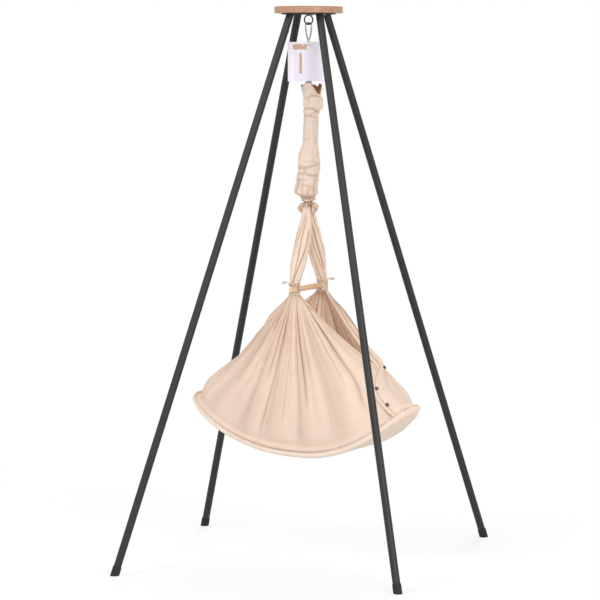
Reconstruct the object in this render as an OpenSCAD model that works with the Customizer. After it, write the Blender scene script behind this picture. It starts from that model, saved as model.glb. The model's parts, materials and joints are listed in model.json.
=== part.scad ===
// A baby's spring cradle: a cloth sling with a mattress hangs from a coil spring
// under a four-legged stand. Millimetres. +Z is up, +X runs along the cradle to its
// foot end, and the origin is on the floor below the eye that the cradle hangs from.

/* [Stand] */
// Height of the plate's underside above the floor
stand_h = 1954; // [1620:1:2350]
// Radius of the circle that the four feet stand on
foot_circle_r = 780; // [650:1:940]
// Radius of the circle where the legs meet the plate
leg_top_r = 76; // [60:1:90]
// Direction of each leg's top: front left, front right, back right, back left
leg_top_az = [-122.4, -32.4, 57.6, 147.6]; // [-180:0.1:180]
// Direction of each foot, in the same order
foot_az = [-123, -40.3, 58.9, 148]; // [-180:0.1:180]
// Outer diameter of the leg tubes
tube_d = 27; // [22:0.1:33]
// Wall of the leg tubes and sockets
tube_wall = 1.2; // [0.8:0.1:2]
// Length of the welded sockets, along the leg
socket_l = 88; // [70:1:120]
// Length of upper leg that shows between its socket and the lower leg
upper_leg_l = 1000; // [800:5:1200]
// Length of the reduced tube ends that plug in
plug_l = 70; // [50:1:90]
// Thickness of the rubber round the tube in the foot caps
foot_cap_wall = 1.8; // [1:0.1:5]
// Length of the rubber foot caps
foot_cap_l = 33; // [20:1:50]
// Diameter of the spring buttons that lock the tubes
button_d = 7; // [5:0.5:9]
// Distance from a tube's rim up to the button in the socket
socket_button_inset = 27; // [15:1:40]
// Distance from a tube's rim down to the button in the lower leg
lower_button_inset = 13; // [10:1:40]

/* [Top] */
// Width of the steel plate's rim outside the leg sockets
plate_margin = 7.5; // [3:0.5:20]
// Width of the wooden disc's rim outside the plate
disc_overhang = 25.5; // [10:0.5:40]
// Thickness of the wooden disc
disc_t = 24; // [21:0.5:40]
// Thickness of the steel plate
plate_t = 4; // [3:0.5:8]
// Centre-line radius of the eye
eye_r = 16.5; // [15:0.5:22]
// Wire of the eye
eye_wire_d = 5; // [4:0.5:6]

/* [Snap hook] */
// Wire of the snap hook
hook_wire_d = 5.5; // [4.5:0.1:6.6]
// Centre-line radius of the snap hook's wide end
hook_top_r = 13; // [12:0.5:16]
// Centre-line radius of its narrow end
hook_low_r = 7; // [7:0.5:8]
// Distance between the centres of the two ends
hook_l = 36; // [34:1:50]
// Turn of the snap hook about the vertical, from the eye's plane
hook_turn = 60; // [45:1:90]

/* [Spring] */
// Outer diameter of the main spring
spring_d = 26; // [21:0.1:32]
// Wire of the main spring
spring_wire_d = 3.6; // [3:0.1:4]
// Coiled length of the main spring
spring_l = 465; // [400:1:500]
// Gap between neighbouring turns of the main spring at rest
spring_gap = 2.1; // [0.5:0.1:3]
// Turns that show above the cloth sleeve
bare_turns = 22; // [10:1:22]

/* [Card] */
// Width of the folded card
card_w = 130; // [90:1:150]
// Height of the folded card
card_h = 140; // [100:1:160]
// Direction that the card faces
card_az = -63; // [-90:1:0]

/* [Sling] */
// Length of the sleeve from the tie to its top rim
sleeve_l = 416; // [380:1:450]
// Length of the spreader bar
bar_l = 268; // [230:1:320]
// Diameter of the spreader bar
bar_d = 20; // [16:0.5:24]
// Distance from the middle of the bar to each cord tie
bar_tie_y = 110; // [90:1:125]
// Drop from the sleeve's tie to the middle of the bar
strap_drop = 314; // [260:1:360]
// Thickness of the sewn cloth
cloth_t = 3; // [2:0.5:4]
// Number of pleats in a side panel
pleats = 14; // [8:1:14]
// Depth of the pleats half-way down a side panel
pleat_depth = 6; // [2:0.5:9]

/* [Cradle base] */
// Length of the cradle base
base_l = 868; // [720:2:1044]
// Offset of the base's middle from the bar, towards the foot end
base_x = -14; // [-40:1:40]
// Width of the cradle base
base_w = 310; // [258:2:372]
// How square the base's outline is, from an ellipse at 2
base_squareness = 3; // [2:0.1:4]
// Drop from the bar to the lowest part of the base's seam
base_drop = 577; // [500:1:650]
// Distance of the lowest part from the middle, towards the foot end
low_x = 45; // [0:1:80]
// Rise of the seam at the head end
head_rise = 180; // [120:1:220]
// Rise of the seam at the foot end
foot_rise = 176; // [120:1:220]
// Depth of the base below its seam, in the middle
base_depth = 20; // [16:1:32]
// Distance of the closed ends' top points from the middle
end_top_x = 275; // [230:1:320]
// Height of the closed ends' top points above the base's seam
end_top_rise = 300; // [240:1:340]
// Diameter of the press studs
stud_d = 14; // [10:0.5:16]
// Thickness of the mattress
mattress_t = 24; // [18:1:32]

/* [Hidden] */
clearance = 0.2;
running_gap = 0.05;
link_gap = 0.15;
legs = [0, 1, 2, 3];
sides = [-1, 1];
fine = 48;

// Tubes
tube_in_d = tube_d - 2 * tube_wall;
plug_d = tube_in_d - 2 * clearance;
plug_in_d = plug_d - 2 * tube_wall;
foot_cap_d = tube_d + 2 * clearance + 2 * foot_cap_wall;
shoulder_l = 8;
foot_sole = 8;
foot_overrun = 8;
button_out = 2.2;
button_hole_d = button_d + 2 * clearance;
flange_d = button_d + 2.5;
flange_t = 1.2;
flange_x = sqrt(pow(plug_in_d / 2, 2) - pow(flange_d / 2, 2)) - 0.3;
leaf_t = 0.6;
leaf_w = 8;
leaf_l = 34;
leaf_x = flange_x - flange_t - 0.1;

// Top
plate_d = 2 * leg_top_r + tube_d + 2 * plate_margin;
disc_d = plate_d + 2 * disc_overhang;
disc_z = stand_h + plate_t;
disc_edge_r = 2;
nut_af = 13;
nut_t = 6.5;
washer_d = 20;
washer_t = 1.6;
shank_d = 8;
shank_end_z = disc_z + washer_t + nut_t + 2;
pocket_d = washer_d + 6;
pocket_l = washer_t + nut_t + 5;
screw_circle_r = 58;
screw_d = 4.5;
screw_l = 16;
screw_head_d = 8.6;
screw_head_t = 2.6;
eye_z = stand_h - eye_r - eye_wire_d / 2;

// Snap hook, with its wide end's wire resting in the eye
hook_top_z = eye_z - eye_r + eye_wire_d / 2 + link_gap + hook_wire_d / 2 - hook_top_r;
hook_low_z = hook_top_z - hook_l;
hook_slope = asin((hook_top_r - hook_low_r) / hook_l);
gate_d = hook_wire_d + 0.9;
gate_pin_d = 2.2;
tongue_t = 0.4 * hook_wire_d;
tongue_r = hook_wire_d / 2 - running_gap;
gate_start = 6;
gate_len = hook_l * cos(hook_slope) - gate_start;
gate_nose_gap = 0.5;
gate_bore_d = 3;
gate_spring_l = 12;
boss_d = 2 * hook_wire_d;
boss_h = 9;
boss_top_z = hook_low_z - hook_low_r + hook_wire_d / 2;
boss_low_z = boss_top_z - boss_h;
swivel_pin_d = 4.2;
swivel_head_d = 7.2;
swivel_head_t = 2;
swivel_eye_r = 6;
link_wire_d = 3.6;
swivel_eye_z = boss_low_z - 1 - link_wire_d / 2 - swivel_eye_r;

// Spring: its top fitting hangs in the swivel's eye
top_loop_r = 7;
top_loop_z = swivel_eye_z - swivel_eye_r + link_wire_d + link_gap - top_loop_r;
fitting_t = 6;
stem_l = 4;
spring_top_z = top_loop_z - top_loop_r - stem_l - fitting_t;
spring_r = (spring_d - spring_wire_d) / 2;
spring_pitch = spring_wire_d + spring_gap;
spring_core_d = spring_d - 2 * spring_wire_d;
spring_low_z = spring_top_z - spring_l;
bare_l = bare_turns * spring_pitch;
low_loop_r = 8;
low_loop_z = spring_low_z - fitting_t - stem_l - low_loop_r;
rock_z = low_loop_z - low_loop_r;
sling_loop_r = 10;
sling_loop_wire_d = 5;
sling_loop_z = rock_z + link_wire_d / 2 + link_gap + sling_loop_wire_d / 2 - sling_loop_r;

// Card on its string
card_top_z = stand_h - 98;
card_leaf_t = 0.8;
card_front = spring_d / 2 + 14;
card_side = -8;
card_hole_d = 6;
card_hole_x = 18;
card_hole_drop = 10;
string_d = 1.6;
string_back = 12;
string_c = (pow(card_hole_x, 2) + pow(card_front, 2) - pow(string_back, 2))
    / (2 * (card_front + string_back));
string_r = string_c + string_back;
card_string_z = card_top_z - card_hole_drop;

// Sling
tie_z = sling_loop_z - 38;
tie_cord_d = 5;
sleeve_in_r = spring_d / 2 + 2.5;
crown_r = sleeve_in_r - 2.5;
bar_z = tie_z - strap_drop;
strap_top_z = tie_z - 48;
strap_low_z = bar_z - 24;
strap_neck_r = 17;
panel_top_z = bar_z - 16;
seam_low_z = bar_z - base_drop;
end_top_z = seam_low_z + end_top_rise;
corner_t = -33;
tray_t = 3;
floor_shares = [0.25, 0.6, 0.85];
mattress_gap = 1;
tray_end_extra = 12;
panel_u = 4 * pleats;
panel_v = 7;
panel_sag = 30;
neck_head_az = 215;
neck_foot_az_near = 35;
neck_foot_az_far = -35;
// Share of the free edge above the end's top, its sag at the head and foot end, and how far the part
// below the top stands out
rim_share = 0.65;
rim_sag = [0, 16];
end_bulge = [[-18, 0, 4], [-35, -33, 0]];
// Shares of the panel over which its free edge pulls the cloth, and over which the pleats fade
edge_reach = 0.4;
pleat_fade = 0.15;
ring_n = 24;
cloth_n = 20;
base_n = 36;
// Shares along and down the far panel
stud_places = [[0.931, 0.683], [0.981, 0.817], [0.983, 0.928]];
stud_step = 0.01;
stud_t = 2.4;
stud_post_d = 5;

// ---- Helpers -------------------------------------------------------------

function on_circle(r, az, z) = [r * cos(az), r * sin(az), z];
function mix(a, b, k) = a + (b - a) * k;
function unit(v) = v / norm(v);

// Triangles between ring a and ring b of n points each; swap takes the other diagonal
function band(a, b, n, swap = false) = [for (j = [0 : n - 1])
    let (k = (j + 1) % n)
    each swap ? [[a + j, a + k, b + j], [a + k, b + k, b + j]]
              : [[a + j, a + k, b + k], [a + j, b + k, b + j]]];

// Solid through rings that run upwards, anticlockwise seen from above, with the other diagonals
// from the ring numbered swap_from on
module skin(rings, swap_from = 1000) {
    n = len(rings[0]);
    m = len(rings);
    low = m * n;
    points = concat([for (r = rings) each r],
                    [[for (c = [0 : 2]) centre(rings[0])[c]],
                     [for (c = [0 : 2]) centre(rings[m - 1])[c]]]);
    faces = concat(
        [for (i = [0 : m - 2]) each band((i + 1) * n, i * n, n, i >= swap_from)],
        [for (j = [0 : n - 1]) [low, j, (j + 1) % n]],
        [for (j = [0 : n - 1]) [low + 1, (m - 1) * n + (j + 1) % n, (m - 1) * n + j]]);
    polyhedron(points, faces);
}

// Solid through rings that close on themselves, like a hollow sleeve
module closed_skin(rings) {
    n = len(rings[0]);
    m = len(rings);
    polyhedron([for (r = rings) each r],
               [for (i = [0 : m - 1]) each band(((i + 1) % m) * n, i * n, n)]);
}

function centre(ring) = [for (c = [0 : 2]) add([for (p = ring) p[c]]) / len(ring)];
function add(v, i = 0) = i >= len(v) ? 0 : v[i] + add(v, i + 1);

// Sheet of thickness t behind a grid of points, rows of equal length
module sheet(grid, t) {
    m = len(grid);
    n = len(grid[0]);
    back = m * n;
    function at(i, j) = grid[max(0, min(m - 1, i))][max(0, min(n - 1, j))];
    function normal(i, j) = unit(cross(at(i + 1, j) - at(i - 1, j), at(i, j + 1) - at(i, j - 1)));
    points = concat([for (row = grid) each row],
                    [for (i = [0 : m - 1], j = [0 : n - 1]) grid[i][j] - t * normal(i, j)]);
    faces = concat(
        [for (i = [0 : m - 2], j = [0 : n - 2])
            let (p = i * n + j)
            each [[p, p + 1, p + n + 1], [p, p + n + 1, p + n],
                  [back + p, back + p + n + 1, back + p + 1],
                  [back + p, back + p + n, back + p + n + 1]]],
        [for (i = [0 : m - 2])
            let (p = i * n, q = i * n + n - 1)
            each [[p, p + n, back + p + n], [p, back + p + n, back + p],
                  [q, back + q, back + q + n], [q, back + q + n, q + n]]],
        [for (j = [0 : n - 2])
            let (p = j, q = (m - 1) * n + j)
            each [[p, back + p, back + p + 1], [p, back + p + 1, p + 1],
                  [q, q + 1, back + q + 1], [q, back + q + 1, back + q]]]);
    polyhedron(points, faces);
}

// Closed wire ring about its own Z
module wire_ring(r, d) {
    rotate_extrude($fn = fine) translate([r, 0]) circle(d = d, $fn = ring_n);
}

// Bent wire: an arc in the XZ plane about the origin, from angle a to angle b
module wire_arc(r, d, a, b) {
    rotate([90, 0, 0]) rotate([0, 0, a])
        rotate_extrude(angle = b - a, $fn = fine) translate([r, 0]) circle(d = d, $fn = ring_n);
}

// ---- Stand ---------------------------------------------------------------

function leg_top(i) = on_circle(leg_top_r, leg_top_az[i], stand_h);
function leg_foot(i) = on_circle(foot_circle_r, foot_az[i], 0);
function leg_run(i) = leg_foot(i) - leg_top(i);
function leg_len(i) = norm(leg_run(i));
function leg_dir(i) = atan2(leg_run(i)[1], leg_run(i)[0]);
function leg_tilt(i) = acos(-leg_run(i)[2] / leg_len(i));
// The front right leg's lower button was fitted facing outwards
function leg_button_turn(i) = i == 1 ? 180 : 0;

// Leg frame: +Z runs down the leg from the plate, +X faces the middle of the stand
module on_leg(i) {
    translate(leg_top(i)) rotate([0, 180 - leg_tilt(i), leg_dir(i)]) children();
}

module tube(d, d_in, from, to) {
    translate([0, 0, from]) difference() {
        cylinder(d = d, h = to - from, $fn = fine);
        translate([0, 0, -1]) cylinder(d = d_in, h = to - from + 2, $fn = fine);
    }
}

module button_hole(at, turn) {
    translate([0, 0, at]) rotate([0, 90, turn]) cylinder(d = button_hole_d, h = tube_d, $fn = fine);
}

module top_disc() {
    color([0.80, 0.60, 0.42]) difference() {
        translate([0, 0, disc_z]) rotate_extrude($fn = 96) {
            square([disc_d / 2 - disc_edge_r, disc_t]);
            translate([0, disc_edge_r]) square([disc_d / 2, disc_t - 2 * disc_edge_r]);
            for (z = [disc_edge_r, disc_t - disc_edge_r])
                translate([disc_d / 2 - disc_edge_r, z]) circle(r = disc_edge_r, $fn = ring_n);
        }
        translate([0, 0, disc_z - 1]) cylinder(d = pocket_d, h = pocket_l + 1, $fn = fine);
        for (i = legs)
            translate(screw_place(i)) cylinder(d = screw_d + 2 * clearance, h = screw_l + 1, $fn = ring_n);
    }
}

function screw_place(i) = on_circle(screw_circle_r, leg_top_az[i] + 45, stand_h);

module disc_screws() {
    color([0.25, 0.25, 0.26]) for (i = legs) translate(screw_place(i)) {
        cylinder(d = screw_d, h = screw_l, $fn = ring_n);
        translate([0, 0, -screw_head_t]) cylinder(d = screw_head_d, h = screw_head_t, $fn = ring_n);
    }
}

module top_plate() {
    color([0.22, 0.23, 0.24]) translate([0, 0, stand_h]) difference() {
        cylinder(d = plate_d, h = plate_t, $fn = 96);
        translate([0, 0, -1]) cylinder(d = shank_d + 2 * clearance, h = plate_t + 2, $fn = fine);
        for (i = legs)
            translate(screw_place(i) - [0, 0, stand_h + 1])
                cylinder(d = screw_d + 2 * clearance, h = plate_t + 2, $fn = ring_n);
    }
}

module leg_socket(i) {
    color([0.22, 0.23, 0.24]) difference() {
        on_leg(i) tube(tube_d, tube_in_d, -tube_d, socket_l);
        on_leg(i) button_hole(socket_l - socket_button_inset, 0);
        translate([0, 0, stand_h]) cylinder(r = 2 * plate_d, h = 2 * tube_d, $fn = fine);
    }
}

// Upper leg: full tube with a reduced plug at each end
module upper_leg(i) {
    from = socket_l + clearance;
    to = socket_l + upper_leg_l;
    color([0.24, 0.25, 0.26]) on_leg(i) difference() {
        rotate_extrude($fn = fine) polygon([
            [plug_in_d / 2, from - plug_l], [plug_d / 2, from - plug_l], [plug_d / 2, from],
            [tube_d / 2, from], [tube_d / 2, to], [plug_d / 2, to], [plug_d / 2, to + plug_l],
            [plug_in_d / 2, to + plug_l], [plug_in_d / 2, to - shoulder_l],
            [tube_in_d / 2, to - 2 * shoulder_l], [tube_in_d / 2, from + 2 * shoulder_l],
            [plug_in_d / 2, from + shoulder_l]]);
        button_hole(socket_l - socket_button_inset, 0);
        button_hole(to + lower_button_inset, leg_button_turn(i));
    }
}

function lower_leg_start() = socket_l + upper_leg_l + clearance;
function lower_leg_end(i) = leg_len(i) - foot_sole;

module lower_leg(i) {
    color([0.24, 0.25, 0.26]) on_leg(i) difference() {
        tube(tube_d, tube_in_d, lower_leg_start(), lower_leg_end(i));
        button_hole(socket_l + upper_leg_l + lower_button_inset, leg_button_turn(i));
    }
}

// Rubber cap, cut level with the floor
module foot_cap(i) {
    color([0.07, 0.07, 0.07]) difference() {
        on_leg(i) difference() {
            translate([0, 0, leg_len(i) - foot_cap_l])
                cylinder(d = foot_cap_d, h = foot_cap_l + foot_overrun, $fn = fine);
            translate([0, 0, leg_len(i) - foot_cap_l - 1])
                cylinder(d = tube_d + 2 * clearance,
                         h = lower_leg_end(i) - leg_len(i) + foot_cap_l + 1 + clearance, $fn = fine);
        }
        translate([0, 0, -4 * foot_cap_d]) translate(leg_foot(i))
            cylinder(r = 4 * foot_cap_d, h = 4 * foot_cap_d, $fn = fine);
    }
}

// Spring button: a domed pin behind a flange, in the leg's frame
module button(at, turn) {
    dome_r = button_d;
    tip = tube_d / 2 + button_out;
    translate([0, 0, at]) rotate([0, 90, turn]) rotate_extrude($fn = fine) intersection() {
        union() {
            translate([0, flange_x - flange_t]) square([flange_d / 2, flange_t]);
            translate([0, flange_x - flange_t]) square([button_d / 2, tip - flange_x + flange_t]);
        }
        translate([0, tip - dome_r]) union() {
            circle(r = dome_r, $fn = fine);
            translate([0, -2 * tube_d]) square([tube_d, 2 * tube_d]);
        }
        square([tube_d, 2 * tube_d]);
    }
}

module socket_button(i) {
    color([0.55, 0.56, 0.58]) on_leg(i) button(socket_l - socket_button_inset, 0);
}

module leg_button(i) {
    color([0.55, 0.56, 0.58]) on_leg(i)
        button(socket_l + upper_leg_l + lower_button_inset, leg_button_turn(i));
}

// U-shaped leaf that pushes one button outwards; its bend lies further inside the plug
module leaf_spring(at, turn, away) {
    back_x = -sqrt(pow(plug_in_d / 2, 2) - pow(leaf_w / 2, 2)) + 0.2;
    bend_r = (leaf_x - back_x) / 2;
    translate([0, 0, at]) rotate([0, 0, turn]) {
        for (x = [back_x, leaf_x - leaf_t])
            translate([x, -leaf_w / 2, away > 0 ? -flange_d / 2 : -leaf_l])
                cube([leaf_t, leaf_w, leaf_l + flange_d / 2]);
        translate([(leaf_x + back_x) / 2, 0, away * leaf_l]) rotate([90, 0, 0])
            rotate([0, 0, away > 0 ? 0 : 180])
                rotate_extrude(angle = 180, $fn = fine)
                    translate([bend_r - leaf_t, -leaf_w / 2]) square([leaf_t, leaf_w]);
    }
}

module button_leaf_springs() {
    color([0.5, 0.5, 0.52]) for (i = legs) on_leg(i) {
        leaf_spring(socket_l - socket_button_inset, 0, 1);
        leaf_spring(socket_l + upper_leg_l + lower_button_inset, leg_button_turn(i), -1);
    }
}

// ---- Eye bolt and snap hook ----------------------------------------------

module eye_bolt() {
    color([0.12, 0.12, 0.13]) {
        translate([0, 0, eye_z]) rotate([90, 0, 0]) wire_ring(eye_r, eye_wire_d);
        translate([0, 0, eye_z + eye_r]) cylinder(d = shank_d, h = shank_end_z - eye_z - eye_r, $fn = fine);
    }
}

module eye_washer() {
    color([0.7, 0.7, 0.72]) translate([0, 0, disc_z]) difference() {
        cylinder(d = washer_d, h = washer_t, $fn = fine);
        translate([0, 0, -1]) cylinder(d = shank_d + 2 * clearance, h = washer_t + 2, $fn = fine);
    }
}

module eye_nut() {
    color([0.7, 0.7, 0.72]) translate([0, 0, disc_z + washer_t]) difference() {
        cylinder(d = nut_af / cos(30), h = nut_t, $fn = 6);
        translate([0, 0, -1]) cylinder(d = shank_d + 2 * running_gap, h = nut_t + 2, $fn = fine);
    }
}

// Hook frame: its own XZ plane, turned about the vertical
module on_hook() {
    rotate([0, 0, hook_turn]) children();
}

// Where a straight side meets the narrow end
function side_start() = [hook_low_r * cos(hook_slope), 0, hook_low_z - hook_low_r * sin(hook_slope)];

// Gate frame: +Z runs from the gate's pivot to the hook's nose
function gate_pivot() = side_start() + gate_start * [sin(hook_slope), 0, cos(hook_slope)];

module on_gate() {
    on_hook() translate(gate_pivot()) rotate([0, hook_slope, 0]) children();
}

module snap_hook() {
    side_l = hook_l * cos(hook_slope);
    wire_lap = 0.4;
    color([0.62, 0.63, 0.65]) difference() {
        union() {
            on_hook() {
                translate([0, 0, hook_top_z])
                    wire_arc(hook_top_r, hook_wire_d, -hook_slope, 180 + hook_slope);
                translate([0, 0, hook_low_z])
                    wire_arc(hook_low_r, hook_wire_d, 180 + hook_slope, 360 - hook_slope);
                mirror([1, 0, 0]) translate(side_start())
                    rotate([0, hook_slope, 0]) translate([0, 0, -wire_lap])
                        cylinder(d = hook_wire_d + wire_lap, h = side_l + 2 * wire_lap, $fn = ring_n);
                translate([0, 0, boss_low_z]) cylinder(d = boss_d, h = boss_h - 1, $fn = fine);
            }
            on_gate() {
                translate([0, 0, -gate_start - wire_lap])
                    cylinder(d = hook_wire_d + wire_lap, h = gate_start + wire_lap - gate_d / 2 - 0.6,
                             $fn = ring_n);
                rotate([90, 0, 0]) cylinder(r = tongue_r, h = tongue_t, center = true, $fn = fine);
                translate([-tongue_r + 0.4, -tongue_t / 2, -gate_start + 1])
                    cube([2 * tongue_r - 0.8, tongue_t, gate_start - 1]);
            }
        }
        on_gate() rotate([90, 0, 0])
            cylinder(d = gate_pin_d + 2 * running_gap, h = 2 * gate_d, center = true, $fn = fine);
        translate([0, 0, boss_low_z - 1])
            cylinder(d = swivel_pin_d + 2 * running_gap, h = boss_h + hook_wire_d, $fn = fine);
        translate([0, 0, boss_top_z])
            cylinder(d = swivel_head_d + 2 * clearance, h = swivel_head_t + 2 * clearance, $fn = fine);
    }
}

module hook_gate() {
    color([0.68, 0.69, 0.71]) on_gate() difference() {
        union() {
            cylinder(d = gate_d, h = gate_len - gate_nose_gap, $fn = fine);
            rotate([90, 0, 0]) cylinder(d = gate_d, h = gate_d - 1, center = true, $fn = fine);
        }
        translate([-gate_d, -tongue_t / 2 - clearance, -gate_d])
            cube([2 * gate_d, tongue_t + 2 * clearance, gate_d + tongue_r + 0.8]);
        rotate([90, 0, 0]) cylinder(d = gate_pin_d, h = 2 * gate_d, center = true, $fn = fine);
        cylinder(d = gate_bore_d, h = tongue_r + 1 + gate_spring_l, $fn = ring_n);
    }
}

module gate_pin() {
    color([0.5, 0.5, 0.52]) on_gate() rotate([90, 0, 0])
        cylinder(d = gate_pin_d, h = gate_d - 0.6, center = true, $fn = fine);
}

module gate_spring() {
    color([0.75, 0.75, 0.77]) on_gate() translate([0, 0, tongue_r + 1])
        cylinder(d = gate_bore_d - 2 * clearance, h = gate_spring_l - 1, $fn = ring_n);
}

module swivel_eye() {
    color([0.62, 0.63, 0.65]) {
        translate([0, 0, swivel_eye_z]) rotate([90, 0, 0]) wire_ring(swivel_eye_r, link_wire_d);
        translate([0, 0, swivel_eye_z + swivel_eye_r])
            cylinder(d = swivel_pin_d, h = boss_top_z - swivel_eye_z - swivel_eye_r + swivel_head_t,
                     $fn = fine);
        translate([0, 0, boss_top_z + clearance])
            cylinder(d = swivel_head_d, h = swivel_head_t - clearance, $fn = fine);
    }
}

// ---- Spring --------------------------------------------------------------

module spring_top_fitting() {
    color([0.62, 0.63, 0.65]) {
        translate([0, 0, top_loop_z]) rotate([0, 90, 0]) wire_ring(top_loop_r, link_wire_d);
        translate([0, 0, spring_top_z + 1])
            cylinder(d = link_wire_d + 1, h = top_loop_z - top_loop_r - spring_top_z - 1, $fn = fine);
        translate([0, 0, spring_top_z + clearance])
            cylinder(d = spring_d, h = fitting_t - clearance, $fn = fine);
    }
}

module spring_low_fitting() {
    color([0.62, 0.63, 0.65]) {
        translate([0, 0, low_loop_z]) rotate([0, 90, 0]) wire_ring(low_loop_r, link_wire_d);
        translate([0, 0, low_loop_z + low_loop_r])
            cylinder(d = link_wire_d + 1, h = spring_low_z - low_loop_z - low_loop_r - 1, $fn = fine);
        translate([0, 0, spring_low_z - fitting_t])
            cylinder(d = spring_d, h = fitting_t - clearance, $fn = fine);
    }
}

// Middle of the bare coil's wire at turn k, counted down from the top
function coil_mid(k) =
    on_circle(spring_r, 360 * k, spring_top_z - spring_wire_d / 2 - clearance - k * spring_pitch);

// One ring of the wire, square to its helix at turn k
function coil_ring(k) =
    let (a = 360 * k,
         rise = spring_pitch / (2 * PI * spring_r),
         out = [cos(a), sin(a), 0],
         side = unit([sin(a) * rise, -cos(a) * rise, 1]))
    [for (j = [0 : 5]) coil_mid(k) + spring_wire_d / 2 * (cos(60 * j) * out + sin(60 * j) * side)];

// Least gap between a turn and the next, over the steps near each place
function coil_gap(steps) = min([for (s = [0 : steps], d = [-1 : 1])
    norm(coil_mid(s / steps) - coil_mid(1 + (s + d) / steps))]) - spring_wire_d;

// Bare turns at the top, and a plain tube where the sleeve hides them
module main_spring() {
    coil_steps = 8;
    rings = [for (s = [bare_turns * coil_steps : -1 : 0]) coil_ring(s / coil_steps)];
    echo(least_gap_between_turns = coil_gap(coil_steps));
    color([0.6, 0.61, 0.63]) {
        skin(rings);
        difference() {
            translate([0, 0, spring_low_z + clearance])
                cylinder(d = spring_d, h = spring_l - bare_l - spring_wire_d, $fn = fine);
            translate([0, 0, spring_low_z - 1]) cylinder(d = spring_core_d, h = spring_l, $fn = fine);
        }
    }
}

module safety_cord() {
    color([0.9, 0.9, 0.88]) translate([0, 0, spring_low_z + clearance])
        cylinder(d = 6, h = spring_l - 2 * clearance, $fn = ring_n);
}

// ---- Card ----------------------------------------------------------------

// Card frame: the hanging axis at the origin, +X the way the card faces
module on_card() {
    translate([0, 0, card_string_z]) rotate([0, 0, card_az]) children();
}

module card_string() {
    color([0.85, 0.8, 0.7]) on_card() translate([string_c, 0, 0]) wire_ring(string_r, string_d);
}

module info_card() {
    leaf_gap = 0.6;
    fold_r = card_leaf_t + leaf_gap / 2;
    color([0.93, 0.92, 0.97]) on_card() difference() {
        union() {
            for (x = [-fold_r, leaf_gap / 2])
                translate([card_front + x, card_side - card_w / 2, card_hole_drop - card_h])
                    cube([card_leaf_t, card_w, card_h]);
            translate([card_front, card_side - card_w / 2, card_hole_drop - card_h])
                cylinder(r = fold_r, h = card_h, $fn = ring_n);
        }
        for (s = sides) translate([card_front - 5, s * card_hole_x, 0])
            rotate([0, 90, 0]) cylinder(d = card_hole_d, h = 10, $fn = ring_n);
    }
}

// ---- Sleeve and tie ------------------------------------------------------

// Height above the tie as a share of the sleeve, how far the cloth stands off the sleeve's
// inside, and its shift in the direction it leans
sleeve_outline = [
    [0.00, 2, 0], [0.03, 8.5, -4], [0.075, 25.5, -12], [0.16, 20.5, -6], [0.24, 18.5, 4],
    [0.28, 14.5, 8], [0.34, 23.5, 2], [0.40, 13.5, 8], [0.46, 11.5, 8], [0.60, 11, 8], [0.72, 11.5, 8],
    [0.735, 13.5, 9], [0.77, 17.5, 12], [0.80, 13.5, 10], [0.86, 20.5, 15], [0.90, 15.5, 12],
    [0.95, 21.5, 14], [1.00, 19.5, 12]
];
sleeve_lean_az = 27;

function sleeve_ring(row) =
    let (z = tie_z + row[0] * sleeve_l)
    [for (j = [0 : cloth_n - 1])
        let (a = 360 * j / cloth_n,
             fold = 1 + 0.045 * cos(3 * a + 900 * row[0]) * min(1, 12 * row[0]),
             ripple = 3 * sin(2 * a + 700 * row[0]) * min(1, 6 * row[0]))
        on_circle((sleeve_in_r + row[1]) * fold, a, z + ripple) + on_circle(row[2], sleeve_lean_az, 0)];

function sleeve_in_ring(z) = [for (j = [0 : cloth_n - 1])
    on_circle(sleeve_in_r, 360 * j / cloth_n, z)];

module spring_sleeve() {
    color([0.90, 0.83, 0.74]) closed_skin(concat(
        [for (row = sleeve_outline) sleeve_ring(row)],
        [sleeve_in_ring(tie_z + sleeve_l - 12), sleeve_in_ring(tie_z)]));
}

module sleeve_tie() {
    color([0.88, 0.80, 0.68]) translate([0, 0, tie_z + tie_cord_d])
        wire_ring(sleeve_in_r + sleeve_outline[1][1], tie_cord_d);
}

// Cloth loop that the spring's lower fitting carries
module sling_loop() {
    color([0.88, 0.80, 0.70]) {
        translate([0, 0, sling_loop_z]) rotate([90, 0, 0]) wire_ring(sling_loop_r, sling_loop_wire_d);
        translate([0, 0, tie_z + 12])
            cylinder(d = 8, h = sling_loop_z - sling_loop_r - tie_z - 12, $fn = ring_n);
    }
}

// Height above the tie, radius and depth of the lobes of the gathered cloth
crown_outline = [
    [-46, 24, 2], [-40, 32, 5], [-30, 35, 6], [-18, 27, 4], [-8, 16, 1], [2, crown_r, 0], [12, crown_r, 0],
    [16, 8, 0]
];

module sling_crown() {
    color([0.91, 0.84, 0.76]) skin([for (row = crown_outline) [for (j = [0 : cloth_n - 1])
        let (a = 360 * j / cloth_n, r = row[1] + row[2] * cos(5 * a + 50))
        on_circle(r, a, tie_z + row[0] + row[2] * 0.6 * cos(3 * a))]]);
}

// ---- Straps, bar and cords -----------------------------------------------

// Share of the way down, half width and flute depth of a gathered strap
strap_outline = [
    [0.00, 11, 1], [0.10, 14, 2], [0.25, 20, 3], [0.42, 24, 3], [0.60, 24, 3], [0.76, 20, 2],
    [0.88, strap_neck_r, 1], [1.00, strap_neck_r, 1]
];

function strap_centre(side, k) =
    [0, side * mix(12, bar_tie_y, min(1, pow(k / 0.86, 1.1))), mix(strap_top_z, strap_low_z, k)];

module strap(side) {
    color([0.90, 0.82, 0.73]) difference() {
        skin([for (i = [len(strap_outline) - 1 : -1 : 0])
            let (row = strap_outline[i], c = strap_centre(side, row[0]))
            [for (j = [0 : cloth_n - 1])
                let (a = 360 * j / cloth_n, r = row[1] + row[2] * cos(6 * a + 30))
                c + [r * cos(a), 0.85 * r * sin(a), 0]]]);
        translate([0, 0, bar_z]) rotate([90, 0, 0])
            cylinder(d = bar_d + 2 * clearance, h = 2 * bar_l, center = true, $fn = fine);
    }
}

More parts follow.
